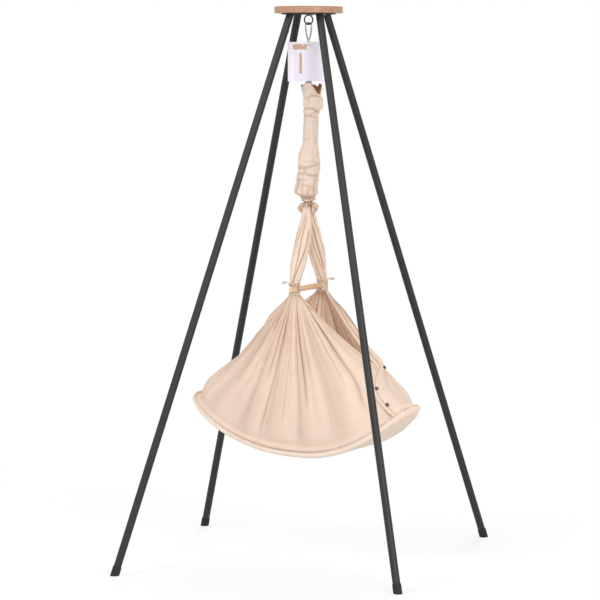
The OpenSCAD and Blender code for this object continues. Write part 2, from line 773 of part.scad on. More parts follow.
module spreader_bar() {
    color([0.85, 0.66, 0.45]) translate([0, 0, bar_z]) rotate([90, 0, 0]) rotate_extrude($fn = fine) {
        translate([0, -bar_l / 2]) square([bar_d / 2 - 1, bar_l]);
        translate([0, -bar_l / 2 + 1]) square([bar_d / 2, bar_l - 2]);
    }
}

// Cord wound round the cloth above and below the bar
module bar_tie(side) {
    color([0.87, 0.80, 0.68]) translate([0, side * bar_tie_y, bar_z])
        for (z = [-bar_d / 2 - 4, bar_d / 2 + 4]) translate([0, 0, z])
            wire_ring(strap_neck_r + 1, 4);
}

// ---- Cradle --------------------------------------------------------------

// Base outline at angle t, drawn in by inset
function base_edge(t, inset = 0) =
    let (n = base_squareness, k = pow(pow(abs(cos(t)), n) + pow(abs(sin(t)), n), 1 / n))
    [base_x + (base_l / 2 - inset) * cos(t) / k, (base_w / 2 - inset) * sin(t) / k];

// Height of the seam round the base, at a distance x from the middle
function seam_z(x) = seam_low_z + (x < low_x
    ? head_rise * pow((low_x - x) / (base_l / 2 + low_x - base_x), 2.2)
    : foot_rise * pow((x - low_x) / (base_l / 2 - low_x + base_x), 2.2));

function seam_point(t, inset = 0) = let (p = base_edge(t, inset)) [p[0], p[1], seam_z(p[0])];
function end_top(s) = [s * end_top_x, 0, end_top_z];
function base_depth_at(x) = base_depth + tray_end_extra * pow(abs(x - base_x) / (base_l / 2), 2);

// Where the panel's gathered top leaves the cord, in direction a
function panel_neck(side, a) = [0, side * bar_tie_y, panel_top_z]
    + (strap_neck_r - 1) * [cos(a), sin(a), 0];

// Direction in which the cloth leaves the neck, at a share u from the head end to the foot end
function neck_az(side, u) =
    mix(side * neck_head_az, side < 0 ? neck_foot_az_near : neck_foot_az_far, u);
function edge_t(side, u) = mix(side * 180, corner_t, u);

// Free edge at the head end (u = 0) or foot end (u = 1): from the neck to the end's top, then down
// to the seam
function free_edge(side, u, v) =
    let (top = end_top(u < 0.5 ? -1 : 1),
         k = (1 - v) / (1 - rim_share))
    k > 1 ? mix(panel_neck(side, neck_az(side, u)), top, v / rim_share)
        - [0, 0, rim_sag[u]] * sin(180 * v / rim_share)
    : mix(seam_point(edge_t(side, u)), top, k) + end_bulge[u] * sin(180 * k);

// What the free edge adds to the straight cloth at a share v from the neck to the seam
function edge_pull(side, u, v) = free_edge(side, u, v)
    - mix(panel_neck(side, neck_az(side, u)), seam_point(edge_t(side, u)), pow(v, 0.9));

function panel_point(side, u, v) =
    let (edge = seam_point(edge_t(side, u)),
         neck = panel_neck(side, neck_az(side, u)),
         body = mix(neck, edge, pow(v, 0.9)),
         out = unit([edge[0] * 0.35, edge[1] - neck[1] * 0.6, 0]),
         fade = min(1, u / pleat_fade, (1 - u) / pleat_fade),
         wave = cos(360 * pleats * u) * pleat_depth * sin(180 * min(1, v * 1.05)) * min(1, 3 * v),
         head_pull = pow(max(0, 1 - u / edge_reach), 2),
         foot_pull = pow(max(0, 1 - (1 - u) / edge_reach), 2),
         sag = panel_sag * sin(180 * v) * pow(abs(edge[0]) / (base_l / 2), 1.5))
    body + out * wave * fade - sag * (1 - head_pull - foot_pull) * [sign(edge[0]), 0, 0.6]
        + head_pull * edge_pull(side, 0, v) + foot_pull * edge_pull(side, 1, v);

function panel_grid(side) = [for (i = [0 : panel_u]) [for (j = [0 : panel_v])
    panel_point(side, side < 0 ? i / panel_u : 1 - i / panel_u, j / panel_v)]];

module side_panel(side) {
    color([0.93, 0.87, 0.79]) sheet(panel_grid(side), cloth_t);
}

// Tray of cloth below the seam, with a rim as thick as the cloth
function tray_ring(drop, inset) = [for (j = [0 : base_n - 1])
    let (p = base_edge(360 * j / base_n, inset))
    [p[0], p[1], seam_z(p[0]) - drop * base_depth_at(p[0])]];

// Ring on the tray's floor at a share k of its outline, raised by lift
function floor_ring(k, lift) = [for (j = [0 : base_n - 1])
    let (p = mix([base_x, 0], base_edge(360 * j / base_n), k))
    [p[0], p[1], seam_z(p[0]) - base_depth_at(p[0]) + lift]];

module base_tray() {
    color([0.96, 0.93, 0.88]) skin([
        for (k = floor_shares) floor_ring(k, 0),
        tray_ring(0.75, 4), tray_ring(0.4, 0), tray_ring(0.02, 0),
        tray_ring(0.02, tray_t), tray_ring(0.4, tray_t), tray_ring(0.7, tray_t + 4),
        for (i = [2 : -1 : 0]) floor_ring(floor_shares[i], tray_t)], swap_from = 8);
}

// Share of the base's outline and of the thickness for each ring of the mattress
mattress_outline = [
    for (k = floor_shares) [k, 0],
    [0.92, 0.45], [0.915, 0.75], [0.87, 0.97], [0.68, 1.15], [0.28, 1.28]
];

// Its underside has the same rings and diagonals as the tray's floor, so the gap is even
module mattress() {
    rings = [for (row = mattress_outline)
        floor_ring(row[0], tray_t + mattress_gap + mattress_t * row[1])];
    color([0.97, 0.96, 0.94]) skin(rings);
}

// Place and outward direction of a press stud on the foot end's flap
function stud_at(k) =
    let (p = panel_point(1, k[0], k[1]),
         du = panel_point(1, k[0] + stud_step, k[1]) - p,
         dv = panel_point(1, k[0], k[1] + stud_step) - p)
    [p, unit(cross(dv, du))];

module on_stud(k) {
    place = stud_at(k);
    n = place[1];
    translate(place[0]) rotate([0, acos(n[2]), atan2(n[1], n[0])]) children();
}

module stud_caps() {
    color([0.33, 0.27, 0.20]) for (k = stud_places) on_stud(k) {
        translate([0, 0, 0.3]) cylinder(d = stud_d, h = stud_t, $fn = ring_n);
        translate([0, 0, -cloth_t - 1]) cylinder(d = stud_post_d, h = cloth_t + 2, $fn = ring_n);
    }
}

module stud_sockets() {
    color([0.33, 0.27, 0.20]) for (k = stud_places) on_stud(k)
        translate([0, 0, -cloth_t - 1 - stud_t]) cylinder(d = stud_d - 2, h = stud_t, $fn = ring_n);
}

top_disc();
disc_screws();
top_plate();
leg_socket(0);  // leg_socket_front_left
leg_socket(1);  // leg_socket_front_right
leg_socket(2);  // leg_socket_back_right
leg_socket(3);  // leg_socket_back_left
eye_bolt();
eye_washer();
eye_nut();
upper_leg(0);  // upper_leg_front_left
upper_leg(1);  // upper_leg_front_right
upper_leg(2);  // upper_leg_back_right
upper_leg(3);  // upper_leg_back_left
lower_leg(0);  // lower_leg_front_left
lower_leg(1);  // lower_leg_front_right
lower_leg(2);  // lower_leg_back_right
lower_leg(3);  // lower_leg_back_left
foot_cap(0);  // foot_cap_front_left
foot_cap(1);  // foot_cap_front_right
foot_cap(2);  // foot_cap_back_right
foot_cap(3);  // foot_cap_back_left
socket_button(0);  // socket_button_front_left
socket_button(1);  // socket_button_front_right
socket_button(2);  // socket_button_back_right
socket_button(3);  // socket_button_back_left
leg_button(0);  // leg_button_front_left
leg_button(1);  // leg_button_front_right
leg_button(2);  // leg_button_back_right
leg_button(3);  // leg_button_back_left
button_leaf_springs();
snap_hook();
hook_gate();
gate_pin();
gate_spring();
swivel_eye();
spring_top_fitting();
main_spring();
safety_cord();
spring_low_fitting();
card_string();
info_card();
spring_sleeve();
sleeve_tie();
sling_loop();
sling_crown();
strap(-1);  // strap_near
strap(1);  // strap_far
spreader_bar();
bar_tie(-1);  // bar_tie_near
bar_tie(1);  // bar_tie_far
side_panel(-1);  // side_panel_near
side_panel(1);  // side_panel_far
base_tray();
mattress();
stud_caps();
stud_sockets();
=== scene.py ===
"""Looks of a swinging cloth cradle on its stand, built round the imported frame.

The frame gives the bodies and the hard parts. This script gives every hard part its finish, builds
the cloth, cords and spring as pieces of their own, and sets the camera, the light and the floor.
"""
import json
import logging
import math
from dataclasses import dataclass, field
from enum import Enum
from typing import Any, Callable, Sequence

import bmesh
import bpy
import numpy as np
from mathutils import Matrix, Vector


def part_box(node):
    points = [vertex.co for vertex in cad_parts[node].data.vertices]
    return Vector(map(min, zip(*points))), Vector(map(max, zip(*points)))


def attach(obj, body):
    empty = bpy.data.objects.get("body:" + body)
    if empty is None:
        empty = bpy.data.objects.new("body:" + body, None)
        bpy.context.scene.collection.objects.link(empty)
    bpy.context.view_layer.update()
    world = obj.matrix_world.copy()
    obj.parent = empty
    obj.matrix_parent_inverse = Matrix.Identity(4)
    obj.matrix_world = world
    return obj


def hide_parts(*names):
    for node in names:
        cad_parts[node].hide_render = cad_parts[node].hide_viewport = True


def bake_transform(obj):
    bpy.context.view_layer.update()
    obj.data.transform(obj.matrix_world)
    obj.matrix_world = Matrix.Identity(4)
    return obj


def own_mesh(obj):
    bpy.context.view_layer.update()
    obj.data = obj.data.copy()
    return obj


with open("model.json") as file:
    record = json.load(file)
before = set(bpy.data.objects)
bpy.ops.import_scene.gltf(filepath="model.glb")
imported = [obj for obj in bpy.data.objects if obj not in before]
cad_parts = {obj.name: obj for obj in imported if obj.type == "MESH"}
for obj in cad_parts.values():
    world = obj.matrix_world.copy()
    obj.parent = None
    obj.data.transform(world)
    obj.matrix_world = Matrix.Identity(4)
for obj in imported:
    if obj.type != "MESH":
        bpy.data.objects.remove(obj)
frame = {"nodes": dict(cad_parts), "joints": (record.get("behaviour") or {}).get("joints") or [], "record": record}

LOG = logging.getLogger("cradle")
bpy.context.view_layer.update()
VIEW_AZIMUTH = -63.0        # direction from the cradle to the camera, seen from above
RIGHT_AZIMUTH = 27.0        # direction that points right in the photograph
TURN = 2 * math.pi


# ---- Numbers and shapes ----------------------

def mix(a: Any, b: Any, share: Any) -> Any:
    """Point at a share of the way from a to b."""
    return a + (b - a) * share


def ease(x: Any) -> Any:
    """Smooth step from 0 to 1, flat at both ends."""
    x = np.clip(x, 0.0, 1.0)
    return x * x * (3 - 2 * x)


def unit(v: np.ndarray) -> np.ndarray:
    """Vectors of length one, along the last axis."""
    return v / np.maximum(np.linalg.norm(v, axis=-1, keepdims=True), 1e-12)


def around(azimuth: Any, radius: Any = 1.0, z: Any = 0.0) -> np.ndarray:
    """Point at an azimuth in degrees, a radius and a height."""
    a = np.radians(azimuth)
    return np.stack(np.broadcast_arrays(np.cos(a) * radius, np.sin(a) * radius, z), axis=-1)


def turn_gap(a: Any, b: Any) -> Any:
    """Smallest turn between two azimuths, in degrees, with its sign."""
    return (np.asarray(a) - b + 180.0) % 360.0 - 180.0


def crease(x: Any, width: Any, sharpness: float = 1.15) -> Any:
    """Profile of a crease: 1 in its valley, falling off on both sides."""
    return np.exp(-(np.abs(x) / width) ** sharpness)


def hill(x: Any, width: Any) -> Any:
    """Profile of a round hill: 1 on its top, falling off on both sides."""
    return np.exp(-(x / width) ** 2)


def cosine(degrees: Any) -> Any:
    """Cosine of an angle in degrees."""
    return np.cos(np.radians(degrees))


def sine(degrees: Any) -> Any:
    """Sine of an angle in degrees."""
    return np.sin(np.radians(degrees))


def full_turn(columns: int) -> np.ndarray:
    """Azimuths of a round piece's columns, anticlockwise."""
    return np.linspace(-180, 180, columns, endpoint=False)


def round_grid(first: float, last: float, size: tuple[int, int]) -> list[np.ndarray]:
    """Place along a round piece and azimuth about it, at (rows, columns) points."""
    return np.meshgrid(np.linspace(first, last, size[0]), full_turn(size[1]), indexing="ij")


def heights(node: str) -> tuple[float, float]:
    """Lowest and highest point of a CAD node."""
    low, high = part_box(node)
    return low.z, high.z


def new_object(name: str, data: Any) -> bpy.types.Object:
    """Puts a mesh, lamp or camera in the scene."""
    made = bpy.data.objects.new(name, data)
    bpy.context.scene.collection.objects.link(made)
    return made


@dataclass(frozen=True)
class Wrinkles:
    """Soft unevenness from waves with seeded directions.

    Args:
        scale: Length of the longest wave.
        seed: Number that fixes the waves.
        count: How many waves are added up.
        finer: How many times shorter the waves get, over two waves.
        weaker: Height of each wave as a share of the last one's.
        peak: Height that counts as 1.
    """

    scale: float
    seed: int
    count: int = 7
    finer: float = 1.45
    weaker: float = 0.82
    peak: float = 2.4

    def at(self, x: Any, y: Any) -> Any:
        """Height of the waves.

        Args:
            x: Place along the surface, in the units of the scale.
            y: Place up the surface.

        Returns:
            Heights from about -1 to 1.
        """
        rng = np.random.default_rng(self.seed)
        total = 0.0
        for n in range(self.count):
            k = TURN / self.scale * self.finer ** (n / 2)
            a, phase = rng.uniform(0, TURN, 2)
            wave = np.sin(k * (x * math.cos(a) + y * math.sin(a)) + phase)
            total = total + wave * self.weaker ** n
        return total / self.peak


def outline_at(rows: Sequence[Sequence[float]], at: Any, column: int,
               rounding: float = 0.7) -> Any:
    """Value of one column of an outline, smoothly between its rows.

    Args:
        rows: Rows that begin with a rising position.
        at: Positions to read.
        column: Which column to read.
        rounding: 0 for straight lines between the rows, 1 for flat tops at each row.

    Returns:
        The values, from a curve through the rows that doesn't overshoot.
    """
    table = np.asarray(rows, float)
    x, y = table[:, 0], table[:, column]
    at = np.asarray(at, float)
    i = np.clip(np.searchsorted(x, at) - 1, 0, len(x) - 2)
    share = (at - x[i]) / (x[i + 1] - x[i])
    return mix(y[i], y[i + 1], mix(share, ease(share), rounding))


@dataclass
class Shell:
    """Points, faces, UV places and painted-shade masks that are gathered into one closed mesh."""

    points: list = field(default_factory=list)
    faces: list = field(default_factory=list)
    places: list = field(default_factory=list)
    masks: list = field(default_factory=list)

    def size(self) -> int:
        """Number of points so far."""
        return sum(len(p) for p in self.points)

    def add_points(self, points: np.ndarray, mask: Any = 0.0) -> int:
        """Adds points.

        Args:
            points: Points, in any shape that ends in three.
            mask: How deep each point lies in a fold, from 0 to 1, which sets how much painted shade it gets.

        Returns:
            The index of the first one.
        """
        start = self.size()
        flat = np.asarray(points, float).reshape(-1, 3)
        self.points.append(flat)
        mask = np.broadcast_to(mask, np.asarray(points).shape[:-1]).reshape(-1)
        self.masks.append(np.asarray(mask, float))
        return start

    def grid(self, points: np.ndarray, cloth: tuple[float, float], mask: Any = 0.0,
             round_columns: bool = False, round_rows: bool = False, flip: bool = False) -> int:
        """Adds a grid of quads.

        Args:
            points: Rows of columns of points. Rows go up and columns go anticlockwise.
            cloth: Width and length of the cloth that the grid stands for, for its UV map.
            mask: Depth in the folds for each point, which sets its painted shade.
            round_columns: Whether the last column joins the first.
            round_rows: Whether the last row joins the first.
            flip: Whether the faces look the other way.

        Returns:
            The index of the grid's first point.
        """
        m, n = points.shape[:2]
        start = self.add_points(points, mask)
        rows = np.arange(m if round_rows else m - 1)
        columns = np.arange(n if round_columns else n - 1)
        i, j = np.meshgrid(rows, columns, indexing="ij")
        up, along = (i + 1) % m, (j + 1) % n
        quads = np.stack([i * n + j, i * n + along, up * n + along, up * n + j], -1).reshape(-1, 4)
        u, v = cloth[0] / max(1, len(columns)), cloth[1] / max(1, len(rows))
        uv = np.stack([np.stack([(j + a) * u, (i + b) * v], -1)
                       for a, b in ((0, 0), (1, 0), (1, 1), (0, 1))], -2).reshape(-1, 4, 2)
        if flip:
            quads, uv = quads[:, ::-1], uv[:, ::-1]
        self.faces += (quads + start).tolist()
        self.places.append(uv.reshape(-1, 2))
        return start

    def fan(self, ring: Sequence[int], centre: Sequence[float], flip: bool = False,
            mask: float = 0.0) -> None:
        """Closes a ring with triangles to a centre point.

        Args:
            ring: Indexes of the ring's points.
            centre: Place of the centre point.
            flip: Whether the faces look the other way.
            mask: Depth in the folds of the centre point, which sets its painted shade.
        """
        middle = self.add_points(np.asarray(centre, float).reshape(1, 3), mask)
        n = len(ring)
        for k in range(n):
            a, b = ring[k], ring[(k + 1) % n]
            self.faces.append([a, middle, b] if flip else [a, b, middle])
        self.places.append(np.tile([[0.0, 0.0], [0.01, 0.0], [0.0, 0.01]], (n, 1)))

    def bridge(self, first: Sequence[int], second: Sequence[int]) -> None:
        """Joins two rows of points with quads.

        Args:
            first: Indexes of the first row's points.
            second: Indexes of the second row's, as many.
        """
        for k in range(len(first) - 1):
            self.faces.append([first[k], first[k + 1], second[k + 1], second[k]])
        self.places.append(np.tile([[0.0, 0.0], [0.002, 0.0], [0.002, 0.002], [0.0, 0.002]],
                                   (len(first) - 1, 1)))

    def build(self, name: str, finish: bpy.types.Material) -> bpy.types.Object:
        """Makes the mesh object.

        Args:
            name: Name of the piece.
            finish: Its material.

        Returns:
            The object, with a UV map named "cloth" and a point attribute named "fold" that holds the painted
            shade.
        """
        mesh = bpy.data.meshes.new(name)
        mesh.from_pydata(np.concatenate(self.points).tolist(), [], self.faces)
        layer = mesh.uv_layers.new(name="cloth")
        layer.data.foreach_set("uv", np.concatenate(self.places).reshape(-1).astype(np.float32))
        mask = mesh.attributes.new("fold", "FLOAT", "POINT")
        mask.data.foreach_set("value", np.clip(np.concatenate(self.masks), 0, 1).astype(np.float32))
        mesh.shade_smooth()
        mesh.materials.append(finish)
        return new_object(name, mesh)


def solid_loft(rings: np.ndarray, cloth: tuple[float, float], mask: Any) -> Shell:
    """Closed solid through rings that run upwards, capped at both ends.

    Args:
        rings: Rings of points, each anticlockwise.
        cloth: Width and length of the cloth for its UV map.
        mask: Depth in the folds for each point, which sets its painted shade.

    Returns:
        The shell.
    """
    shell = Shell()
    m, n = rings.shape[:2]
    start = shell.grid(rings, cloth, mask, round_columns=True)
    top = start + (m - 1) * n
    # The caps' centres get half the full painted shade
    shell.fan(range(start, start + n), rings[0].mean(0), flip=True, mask=0.5)
    shell.fan(range(top, top + n), rings[-1].mean(0), mask=0.5)
    return shell


def sheet_shell(grid: np.ndarray, thickness: Any, cloth: tuple[float, float],
                mask: Any = 0.0) -> Shell:
    """Closed sheet of cloth whose outer face is the grid.

    Args:
        grid: Rows of columns of points, outer face towards the reader.
        thickness: Thickness of the cloth at each point.
        cloth: Width and length of the cloth for its UV map.
        mask: Depth in the folds for each point, which sets its painted shade.

    Returns:
        The shell, with both faces and all four edges.
    """
    m, n = grid.shape[:2]
    inner = grid - normals_of(grid) * np.broadcast_to(thickness, (m, n))[..., None]
    shell = Shell()
    a = shell.grid(grid, cloth, mask)
    b = shell.grid(inner, cloth, mask, flip=True)
    bottom, top = list(range(n)), [(m - 1) * n + j for j in range(n)]
    left, right = [i * n for i in range(m)], [i * n + n - 1 for i in range(m)]
    for edge, turned in ((bottom, True), (top, False), (left, False), (right, True)):
        outer, back = [a + k for k in edge], [b + k for k in edge]
        shell.bridge(back, outer) if turned else shell.bridge(outer, back)
    return shell


def normals_of(grid: np.ndarray) -> np.ndarray:
    """Outward directions of a grid whose rows go up and columns go anticlockwise."""
    return unit(np.cross(np.gradient(grid, axis=1), np.gradient(grid, axis=0)))


def path_object(name: str, paths: Sequence[np.ndarray], closed: bool = False) -> bpy.types.Object:
    """Mesh of bare edges along one or more paths, for a node tree to work on.

    Args:
        name: Name of the object.
        paths: Points along each path.
        closed: Whether each path's last point joins its first.

    Returns:
        The object.
    """
    points, edges = [], []
    for path in paths:
        start = len(points)
        points += np.asarray(path, float).tolist()
        edges += [(start + k, start + k + 1) for k in range(len(path) - 1)]
        if closed:
            edges.append((len(points) - 1, start))
    mesh = bpy.data.meshes.new(name)
    mesh.from_pydata(points, edges, [])
    return new_object(name, mesh)


# ---- Node trees ------------------------------

def linear(code: str) -> tuple[float, float, float, float]:
    """Linear colour of a written colour such as "E1DBE9"."""
    parts = [int(code[k:k + 2], 16) / 255 for k in (0, 2, 4)]
    return (*[c / 12.92 if c <= 0.04045 else ((c + 0.055) / 1.055) ** 2.4 for c in parts], 1.0)


def operator(operation: str) -> Callable[["Value", Any], "Value"]:
    """Method that makes a Math node from a value and what stands after the operator.

    Args:
        operation: The Math node's operation.

    Returns:
        The method.
    """

    def method(self: "Value", other: Any) -> "Value":
        """Result of the Math node."""
        return self.maths(operation, other)

    return method


class Value:
    """One output socket of a node tree, which takes part in Python expressions."""

    def __init__(self, tree: "Nodes", socket: bpy.types.NodeSocket) -> None:
        """Keeps the tree and the socket."""
        self.tree, self.socket = tree, socket

    def maths(self, operation: str, *others: Any) -> "Value":
        """Result of a Math node on this value and others."""
        return self.tree.node("ShaderNodeMath", {"operation": operation},
                              dict(enumerate((self, *others))))

    __add__ = __radd__ = operator("ADD")
    __sub__ = operator("SUBTRACT")
    __mul__ = __rmul__ = operator("MULTIPLY")
    __truediv__ = operator("DIVIDE")
    __gt__ = operator("GREATER_THAN")
    __lt__ = operator("LESS_THAN")

    def __rsub__(self, other: Any) -> "Value":
        """Difference from a number."""
        return self.tree.node("ShaderNodeMath", {"operation": "SUBTRACT"}, {0: other, 1: self})

    def beside(self, output: str | int) -> "Value":
        """Another output of the same node."""
        return Value(self.tree, self.socket.node.outputs[output])

    def between(self, low: float, high: float) -> "Value":
        """Smooth step from 0 at low to 1 at high."""
        return self.tree.node("ShaderNodeMapRange", {"interpolation_type": "SMOOTHSTEP"},
                              {"Value": self, "From Min": low, "From Max": high})

    def sine(self) -> "Value":
        """Sine of the value in radians."""
        return self.maths("SINE")

    def cosine(self) -> "Value":
        """Cosine of the value in radians."""
        return self.maths("COSINE")


class Nodes:
    """A node tree, with one method that makes any node."""

    def __init__(self, tree: bpy.types.NodeTree) -> None:
        """Keeps the tree and empties it."""
        self.tree = tree
        tree.nodes.clear()

    def node(self, kind: str, settings: dict | None = None, inputs: dict | None = None,
             output: Any = 0) -> Value:
        """Makes a node.

        Args:
            kind: Type of the node.
            settings: Its properties, set first. "stops" gives a colour ramp's stops.
            inputs: Values or links by socket name or index.
            output: Name or index of the output that is wanted.

        Returns:
            That output.
        """
        made = self.tree.nodes.new(kind)
        for name, value in (settings or {}).items():
            if name == "stops":
                self._set_stops(made.color_ramp, value)
            else:
                setattr(made, name, value)
        for key, value in (inputs or {}).items():
            socket = made.inputs[key]
            if isinstance(value, Value):
                self.tree.links.new(value.socket, socket)
            else:
                socket.default_value = value
        return Value(self, made.outputs[output]) if len(made.outputs) else Value(self, None)

    @staticmethod
    def _set_stops(ramp: bpy.types.ColorRamp, stops: Sequence[tuple]) -> None:
        """Gives a colour ramp its stops."""
        while len(ramp.elements) < len(stops):
            ramp.elements.new(0.5)
        for element, (position, colour) in zip(ramp.elements, stops):
            element.position, element.color = position, colour

    def vector(self, operation: str, *values: Any, output: Any = 0) -> Value:
        """Result of a Vector Math node."""
        return self.node("ShaderNodeVectorMath", {"operation": operation},
                         dict(enumerate(values)), output)

    def scaled(self, vector: Value, amount: Value) -> Value:
        """Vector made longer by an amount."""
        return self.node("ShaderNodeVectorMath", {"operation": "SCALE"},
                         {0: vector, "Scale": amount})


class Surface(Nodes):
    """A material's tree."""

    def __init__(self, name: str) -> None:
        """Makes the material and its empty tree."""
        self.material = bpy.data.materials.new(name)
        self.material.use_nodes = True
        super().__init__(self.material.node_tree)

    def coords(self, kind: str = "Object") -> Value:
        """Object coordinates, or those of the UV map with "UV"."""
        if kind == "UV":
            return self.node("ShaderNodeUVMap", {"uv_map": "cloth"})
        return self.node("ShaderNodeTexCoord", None, None, kind)

    def stretched(self, scale: Sequence[float], kind: str = "Object") -> Value:
        """Coordinates that are scaled by axis."""
        return self.node("ShaderNodeMapping", {"vector_type": "POINT"},
                         {"Vector": self.coords(kind), "Scale": scale})

    def noise(self, where: Value, scale: float, detail: float = 3.0, rough: float = 0.55,
              bend: float = 0.0) -> Value:
        """Noise from about 0 to 1."""
        return self.node("ShaderNodeTexNoise", None,
                         {"Vector": where, "Scale": scale, "Detail": detail,
                          "Roughness": rough, "Distortion": bend}, "Fac")

    def ramp(self, value: Value, *stops: tuple[float, str]) -> Value:
        """Colour from a value, through stops of (position, colour code)."""
        return self.node("ShaderNodeValToRGB",
                         {"stops": [(at, linear(code)) for at, code in stops]},
                         {"Fac": value}, "Color")

    def blend(self, share: Any, first: Any, second: Any) -> Value:
        """Mix of two colours."""
        return self.node("ShaderNodeMix", {"data_type": "RGBA"},
                         {0: share, 6: first, 7: second}, 2)

    def bump(self, height: Value, strength: float, distance: float) -> Value:
        """Normal from a height."""
        return self.node("ShaderNodeBump", None,
                         {"Height": height, "Strength": strength, "Distance": distance})

    def finish(self, through: float = 0.0, **inputs: Any) -> bpy.types.Material:
        """Closes the tree with a Principled shader.

        Args:
            through: Share of the light that a thin sheet lets through, in its own colour.
            inputs: The shader's sockets by name, with "_" for a space.

        Returns:
            The material.
        """
        named = {name.replace("_", " "): value for name, value in inputs.items()}
        shader = self.node("ShaderNodeBsdfPrincipled", None, named)
        if through:
            behind = self.node("ShaderNodeBsdfTranslucent", None, {"Color": named["Base Color"]})
            shader = self.node("ShaderNodeMixShader", None, {0: through, 1: shader, 2: behind})
        self.node("ShaderNodeOutputMaterial", None, {"Surface": shader})
        return self.material


# ---- Finishes --------------------------------

class Grain(Enum):
    """Which way the wood's grain runs."""

    ALONG_X = (1.0, 11.0, 11.0)
    ALONG_Y = (11.0, 1.0, 11.0)


@dataclass(frozen=True)
class Wood:
    """Oiled beech, with growth lines, flecks and a little sheen."""

    name: str
    grain: Grain
    pale: str = "D09C75"
    middle: str = "BF8963"
    dark: str = "A06D4B"

    def make(self) -> bpy.types.Material:
        """Builds the material."""
        s = Surface(self.name)
        along = s.stretched(self.grain.value)
        lines = s.noise(along, scale=4.5, detail=5, rough=0.6, bend=1.6)
        broad = s.noise(s.stretched([g * 0.25 for g in self.grain.value]), scale=6.0, detail=2)
        flecks = s.noise(s.stretched([g ** 1.6 for g in self.grain.value]), scale=24.0, detail=2,
                         rough=0.4)
        colour = s.ramp(lines * 0.72 + broad * 0.28,
                        (0.28, self.dark), (0.46, self.middle), (0.68, self.pale))
        fleck = flecks.between(0.60, 0.74)
        colour = s.blend(fleck * 0.38, colour, linear(self.dark))
        return s.finish(Base_Color=colour, Roughness=lines * 0.16 + 0.40,
                        Coat_Weight=0.18, Coat_Roughness=0.32,
                        Normal=s.bump(lines * 0.5 - fleck * 0.6, strength=0.35, distance=0.0004))


@dataclass(frozen=True)
class Coat:
    """Powder coat: a fine orange-peel skin with a satin sheen and faint rubbed patches."""

    name: str
    colour: str
    rubbed: str
    gloss: float = 0.42
    grit: float = 620.0

    def make(self) -> bpy.types.Material:
        """Builds the material."""
        s = Surface(self.name)
        where = s.coords()
        peel = s.noise(where, scale=self.grit, detail=2, rough=0.5)
        cloud = s.noise(where, scale=14.0, detail=4, rough=0.6)
        rubs = s.noise(s.stretched((90, 90, 7)), scale=1.0, detail=4, rough=0.7).between(0.62, 0.78)
        colour = s.blend(cloud.between(0.35, 0.7) * 0.35 + rubs * 0.22,
                         linear(self.colour), linear(self.rubbed))
        return s.finish(Base_Color=colour, Roughness=cloud * 0.14 + (self.gloss - 0.07),
                        Specular_IOR_Level=0.45,
                        Normal=s.bump(peel, strength=0.35, distance=0.00025))


@dataclass(frozen=True)
class Metal:
    """Bare or plated metal with fine drawn scratches and dull spots."""

    name: str
    bright: str
    dull: str
    roughness: float = 0.30

    def make(self) -> bpy.types.Material:
        """Builds the material."""
        s = Surface(self.name)
        where = s.coords()
        spots = s.noise(where, scale=160.0, detail=5, rough=0.65)
        drawn = s.noise(s.stretched((900, 900, 120)), scale=1.0, detail=2)
        colour = s.blend(spots.between(0.42, 0.72), linear(self.bright), linear(self.dull))
        return s.finish(Base_Color=colour, Metallic=1.0,
                        Roughness=spots * 0.22 + drawn * 0.10 + (self.roughness - 0.14),
                        Normal=s.bump(drawn + spots * 0.6, strength=0.25, distance=0.00012))


@dataclass(frozen=True)
class Rubber:
    """Moulded rubber with dust in its pores."""

    name: str

    def make(self) -> bpy.types.Material:
        """Builds the material."""
        s = Surface(self.name)
        where = s.coords()
        pores = s.noise(where, scale=700.0, detail=2)
        dust = s.noise(where, scale=45.0, detail=5, rough=0.7).between(0.52, 0.80)
        colour = s.blend(dust * 0.4, linear("1D1D1E"), linear("3B3A38"))
        return s.finish(Base_Color=colour, Roughness=dust * 0.15 + 0.66, Specular_IOR_Level=0.35,
                        Normal=s.bump(pores, strength=0.4, distance=0.0003))


@dataclass(frozen=True)
class Cotton:
    """Plain-woven cotton: crossing threads and slubs, with painted shade that darkens it inside the folds."""

    name: str
    face: str
    # Colour of the painted shade inside folds, seams and hollows
    deep: str
    threads: float = 900.0
    slub: float = 1.0
    through: float = 0.0

    def make(self) -> bpy.types.Material:
        """Builds the material."""
        s = Surface(self.name)
        cloth = s.coords("UV")
        across = s.node("ShaderNodeSeparateXYZ", None, {0: cloth})
        half_turns = TURN / 2 * self.threads
        weave = (across * half_turns).sine() * (across.beside("Y") * half_turns).sine()
        slubs = s.noise(s.stretched((9, 420, 1), kind="UV"), scale=1.0, detail=3, rough=0.6)
        cross = s.noise(s.stretched((420, 9, 1), kind="UV"), scale=1.0, detail=3, rough=0.6)
        cloud = s.noise(s.coords(), scale=7.0, detail=4, rough=0.6)
        # Painted shade: the "fold" attribute darkens the colour towards the deep colour, on top of the cloth's own
        # slubs and clouds
        fold = s.node("ShaderNodeAttribute", {"attribute_name": "fold"}, None, "Fac")
        tone = slubs * (0.10 * self.slub) + cross * (0.10 * self.slub) + cloud * 0.20 \
            + fold * 0.85
        colour = s.ramp(tone, (0.14, self.face), (1.0, self.deep))
        height = weave * 0.35 + slubs * self.slub + cross * self.slub
        return s.finish(self.through, Base_Color=colour, Roughness=slubs * 0.10 + 0.82,
                        Specular_IOR_Level=0.22, Sheen_Weight=0.15, Sheen_Roughness=0.5,
                        Normal=s.bump(height, strength=0.35, distance=0.00035))


